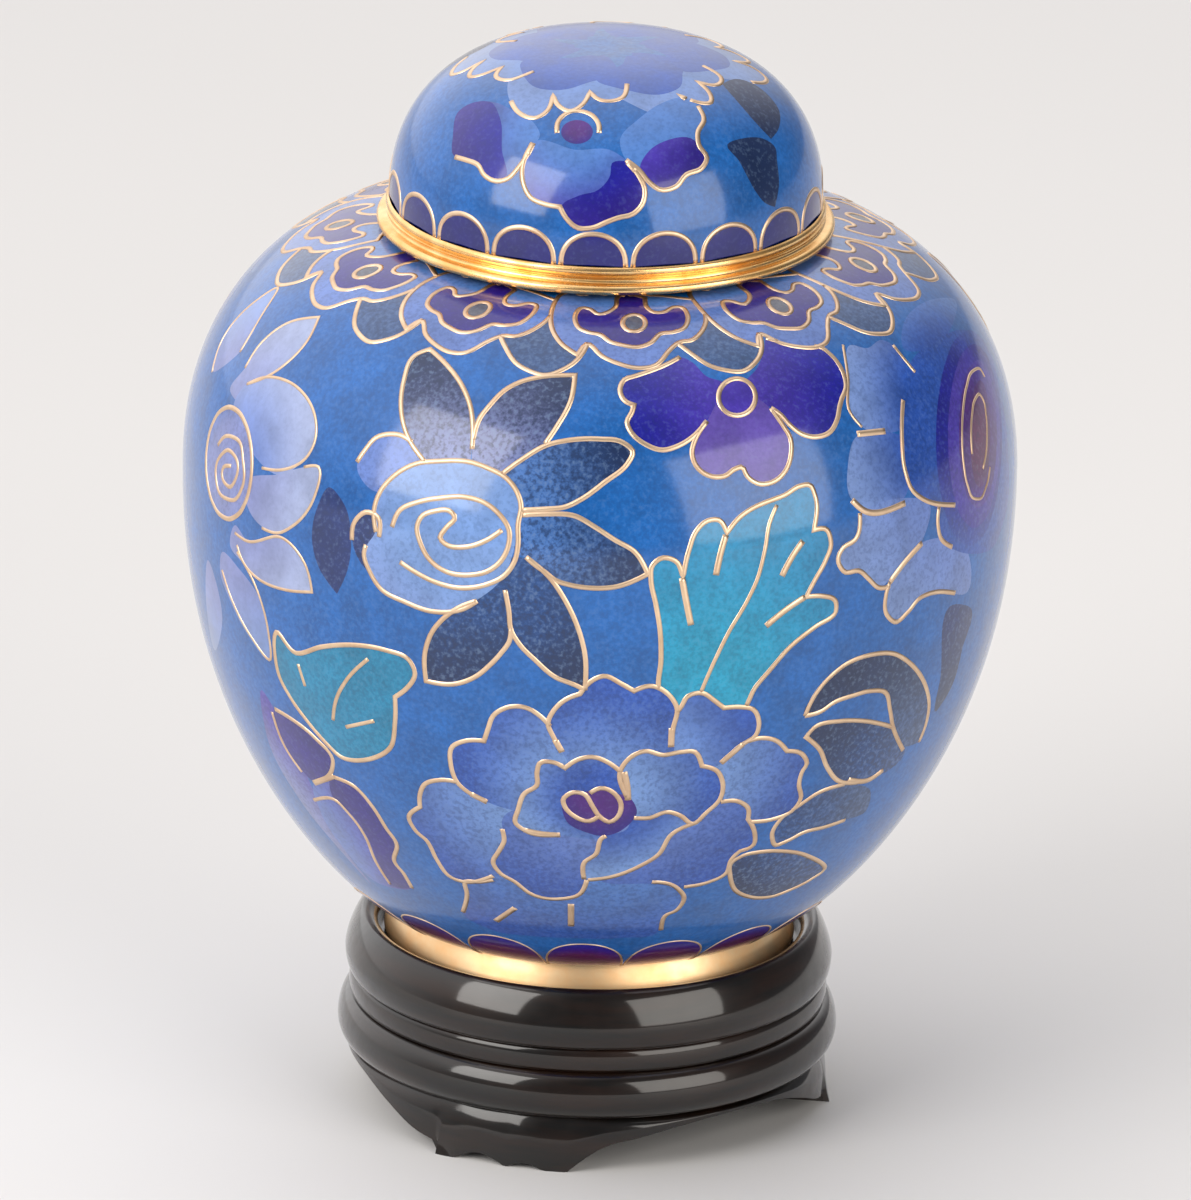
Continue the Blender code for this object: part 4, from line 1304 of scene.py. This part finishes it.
_, standTop, _ = nodeSizes("stand")
crest = stand["recessRadius"] + stand["lipCrest"]
widest = standTop - stand["lipDrop"]
lip = stand["lipRadius"]
groove = lip - stand["grooveDepth"]
grooveSpan = stand["upperGroove"] - stand["lowerGroove"]
torusWide = stand["torusRadius"] - groove
shoulder = stand["skirtShoulder"]
shoulderLevel = stand["skirtHeight"] - shoulder
skirtLevels = np.linspace(0.0, shoulderLevel, 14)[:-1]
skirtNeck = stand["skirtRadius"] - stand["grooveDepth"]
standSection = np.concatenate([
    [[stand["skirtBore"] * 0.5, stand["boardUnderside"]], [stand["skirtBore"], stand["boardUnderside"]]],
    np.column_stack([np.full(2, stand["skirtBore"]), [stand["skirtHeight"], 0.0]]),
    np.column_stack([np.full(len(skirtLevels), stand["skirtRadius"]), skirtLevels]),
    np.column_stack(quarterCurve(skirtNeck, stand["skirtRadius"], shoulderLevel, stand["skirtHeight"],
                                 stand["shoulderPowers"], 12)),
    sectionArc(skirtNeck, stand["torusLevel"], stand["torusRadius"] - skirtNeck,
               stand["torusLevel"] - stand["skirtHeight"], -90, 0, 10)[1:],
    sectionArc(groove, stand["torusLevel"], torusWide, stand["lowerGroove"] - stand["torusLevel"],
               0, 90, 14)[1:],
    sectionArc(groove, stand["lowerGroove"] + 0.5 * grooveSpan, stand["beadRadius"] - groove,
               0.5 * grooveSpan, -90, 90, 12)[1:],
    sectionArc(groove, widest, lip - groove, widest - stand["upperGroove"], -90, 0, 8)[1:],
    np.column_stack(quarterCurve(crest, lip, widest, standTop, stand["lipPowers"], 18))[1:],
    sectionArc(crest, standTop - stand["lipCrest"], stand["lipCrest"], stand["lipCrest"], 90, 180, 8)[1:],
    [[stand["recessRadius"], standTop - stand["recessDepth"]],
     [stand["recessRadius"] * 0.5, standTop - stand["recessDepth"]]],
])
standMesh = turnedMesh("carved_stand", standSection[:, 0], standSection[:, 1], stand["columns"], False,
                       shapeSkirt)
addPiece(standMesh, lacquer, "stand")
print("stage: stand turned,", len(standMesh.polygons), "faces")


# The floor, a wide pale sheet that the object stands on.
floorMesh = meshFromArrays("floor", np.array([[-1.0, -1.0, 0.0], [1.0, -1.0, 0.0], [1.0, 1.0, 0.0],
                                              [-1.0, 1.0, 0.0]]) * 4000.0, [np.array([[0, 1, 2, 3]])])
floorFinish, floorNode = newFinish("pale_floor")
floorCloud = floorNode("TexNoise", Vector=floorNode("TexCoord").outputs["Object"], Scale=6.0)
floorColour = mixColours(floorNode, floorCloud.outputs["Fac"], (0.70, 0.69, 0.68, 1.0),
                         (0.74, 0.73, 0.72, 1.0))
endFinish(floorFinish, floorNode("BsdfPrincipled", Base_Color=floorColour, Roughness=0.7))
floorMesh.materials.append(floorFinish)
floor = bpy.data.objects.new("floor", floorMesh)
bpy.context.scene.collection.objects.link(floor)


# A soft box seen from the urn at a bearing and a height angle, in degrees, that looks at the urn.
def addSoftBox(name, box):
    light = bpy.data.lights.new(name, "AREA")
    light.shape = "RECTANGLE"
    light.size = 2 * box["distance"] * np.tan(np.radians(box["wide"] / 2))
    light.size_y = 2 * box["distance"] * np.tan(np.radians(box["high"] / 2))
    light.energy = box["power"]
    light.color = box["colour"]
    lamp = bpy.data.objects.new(name, light)
    bearing, lift = np.radians(box["bearing"]), np.radians(box["lift"])
    towards = Vector((np.sin(bearing) * np.cos(lift), -np.cos(bearing) * np.cos(lift), np.sin(lift)))
    lamp.location = Vector((0.0, 0.0, 0.05)) + towards * box["distance"]
    lamp.rotation_mode = "QUATERNION"
    lamp.rotation_quaternion = towards.to_track_quat("Z", "Y")
    bpy.context.scene.collection.objects.link(lamp)


softBoxes = {
    "leftWindow": {"bearing": -48, "lift": 28, "wide": 32, "high": 37, "distance": 0.9, "power": 5.4,
                   "colour": (1.0, 0.97, 0.93)},
    "rightWindow": {"bearing": 45, "lift": 19, "wide": 42, "high": 38, "distance": 0.9, "power": 4.8,
                    "colour": (1.0, 0.96, 0.9)},
}
for name, box in softBoxes.items():
    addSoftBox(name, box)

# The room round the urn: dim in front, bright above and behind. The glow is the direction times the
# bright pole, run through a smooth ramp.
room = {
    "pole": (-0.48, 0.52, 0.7),
    "dimFrom": 0.1,
    "brightFrom": 0.9,
    "dim": (0.13, 0.13, 0.14, 1.0),
    "bright": (1.45, 1.42, 1.42, 1.0),
}
world = bpy.data.worlds.new("studio")
bpy.context.scene.world = world
world.use_nodes = True
worldTree = world.node_tree
background = worldTree.nodes["Background"]
direction = worldTree.nodes.new("ShaderNodeTexCoord")
towardsPole = worldTree.nodes.new("ShaderNodeVectorMath")
towardsPole.operation = "DOT_PRODUCT"
towardsPole.inputs[1].default_value = room["pole"]
glow = worldTree.nodes.new("ShaderNodeMapRange")
glow.interpolation_type = "SMOOTHSTEP"
glow.inputs["From Min"].default_value = room["dimFrom"]
glow.inputs["From Max"].default_value = room["brightFrom"]
roomColour = worldTree.nodes.new("ShaderNodeMix")
roomColour.data_type = "RGBA"
roomColour.inputs[6].default_value = room["dim"]
roomColour.inputs[7].default_value = room["bright"]
worldTree.links.new(direction.outputs["Generated"], towardsPole.inputs[0])
worldTree.links.new(towardsPole.outputs["Value"], glow.inputs["Value"])
worldTree.links.new(glow.outputs["Result"], roomColour.inputs[0])
worldTree.links.new(roomColour.outputs[2], background.inputs["Color"])
background.inputs["Strength"].default_value = 1.0


# The camera: axes from the tilt and the roll, then turned a little so that the aim point lands on its
# pixel with no lens shift.
def placeCamera():
    wide, high = shot["pictureSize"]
    right = viewRight * np.cos(roll) + viewUp * np.sin(roll)
    up = viewUp * np.cos(roll) - viewRight * np.sin(roll)
    offset = np.array([wide / 2 - aimPixel[0], high / 2 - aimPixel[1]])
    ahead = -viewBack * shot["focal"] + right * offset[0] - up * offset[1]
    back = -ahead / np.linalg.norm(ahead)
    right = right - right.dot(back) * back
    right = right / np.linalg.norm(right)
    up = np.cross(back, right)
    data = bpy.data.cameras.new("camera")
    data.sensor_width = shot["sensor"]
    data.lens = shot["focal"] * shot["sensor"] / max(wide, high)
    data.clip_start = 0.1
    data.clip_end = 20.0
    camera = bpy.data.objects.new("camera", data)
    bpy.context.scene.collection.objects.link(camera)
    place = (aimPoint + viewBack * shot["distance"]) * metresPerMm
    camera.matrix_world = Matrix([[right[i], up[i], back[i], place[i]] for i in range(3)] + [[0, 0, 0, 1]])
    bpy.context.scene.camera = camera


placeCamera()
bpy.context.scene.view_settings.view_transform = "Standard"

print("stage: scene ready")
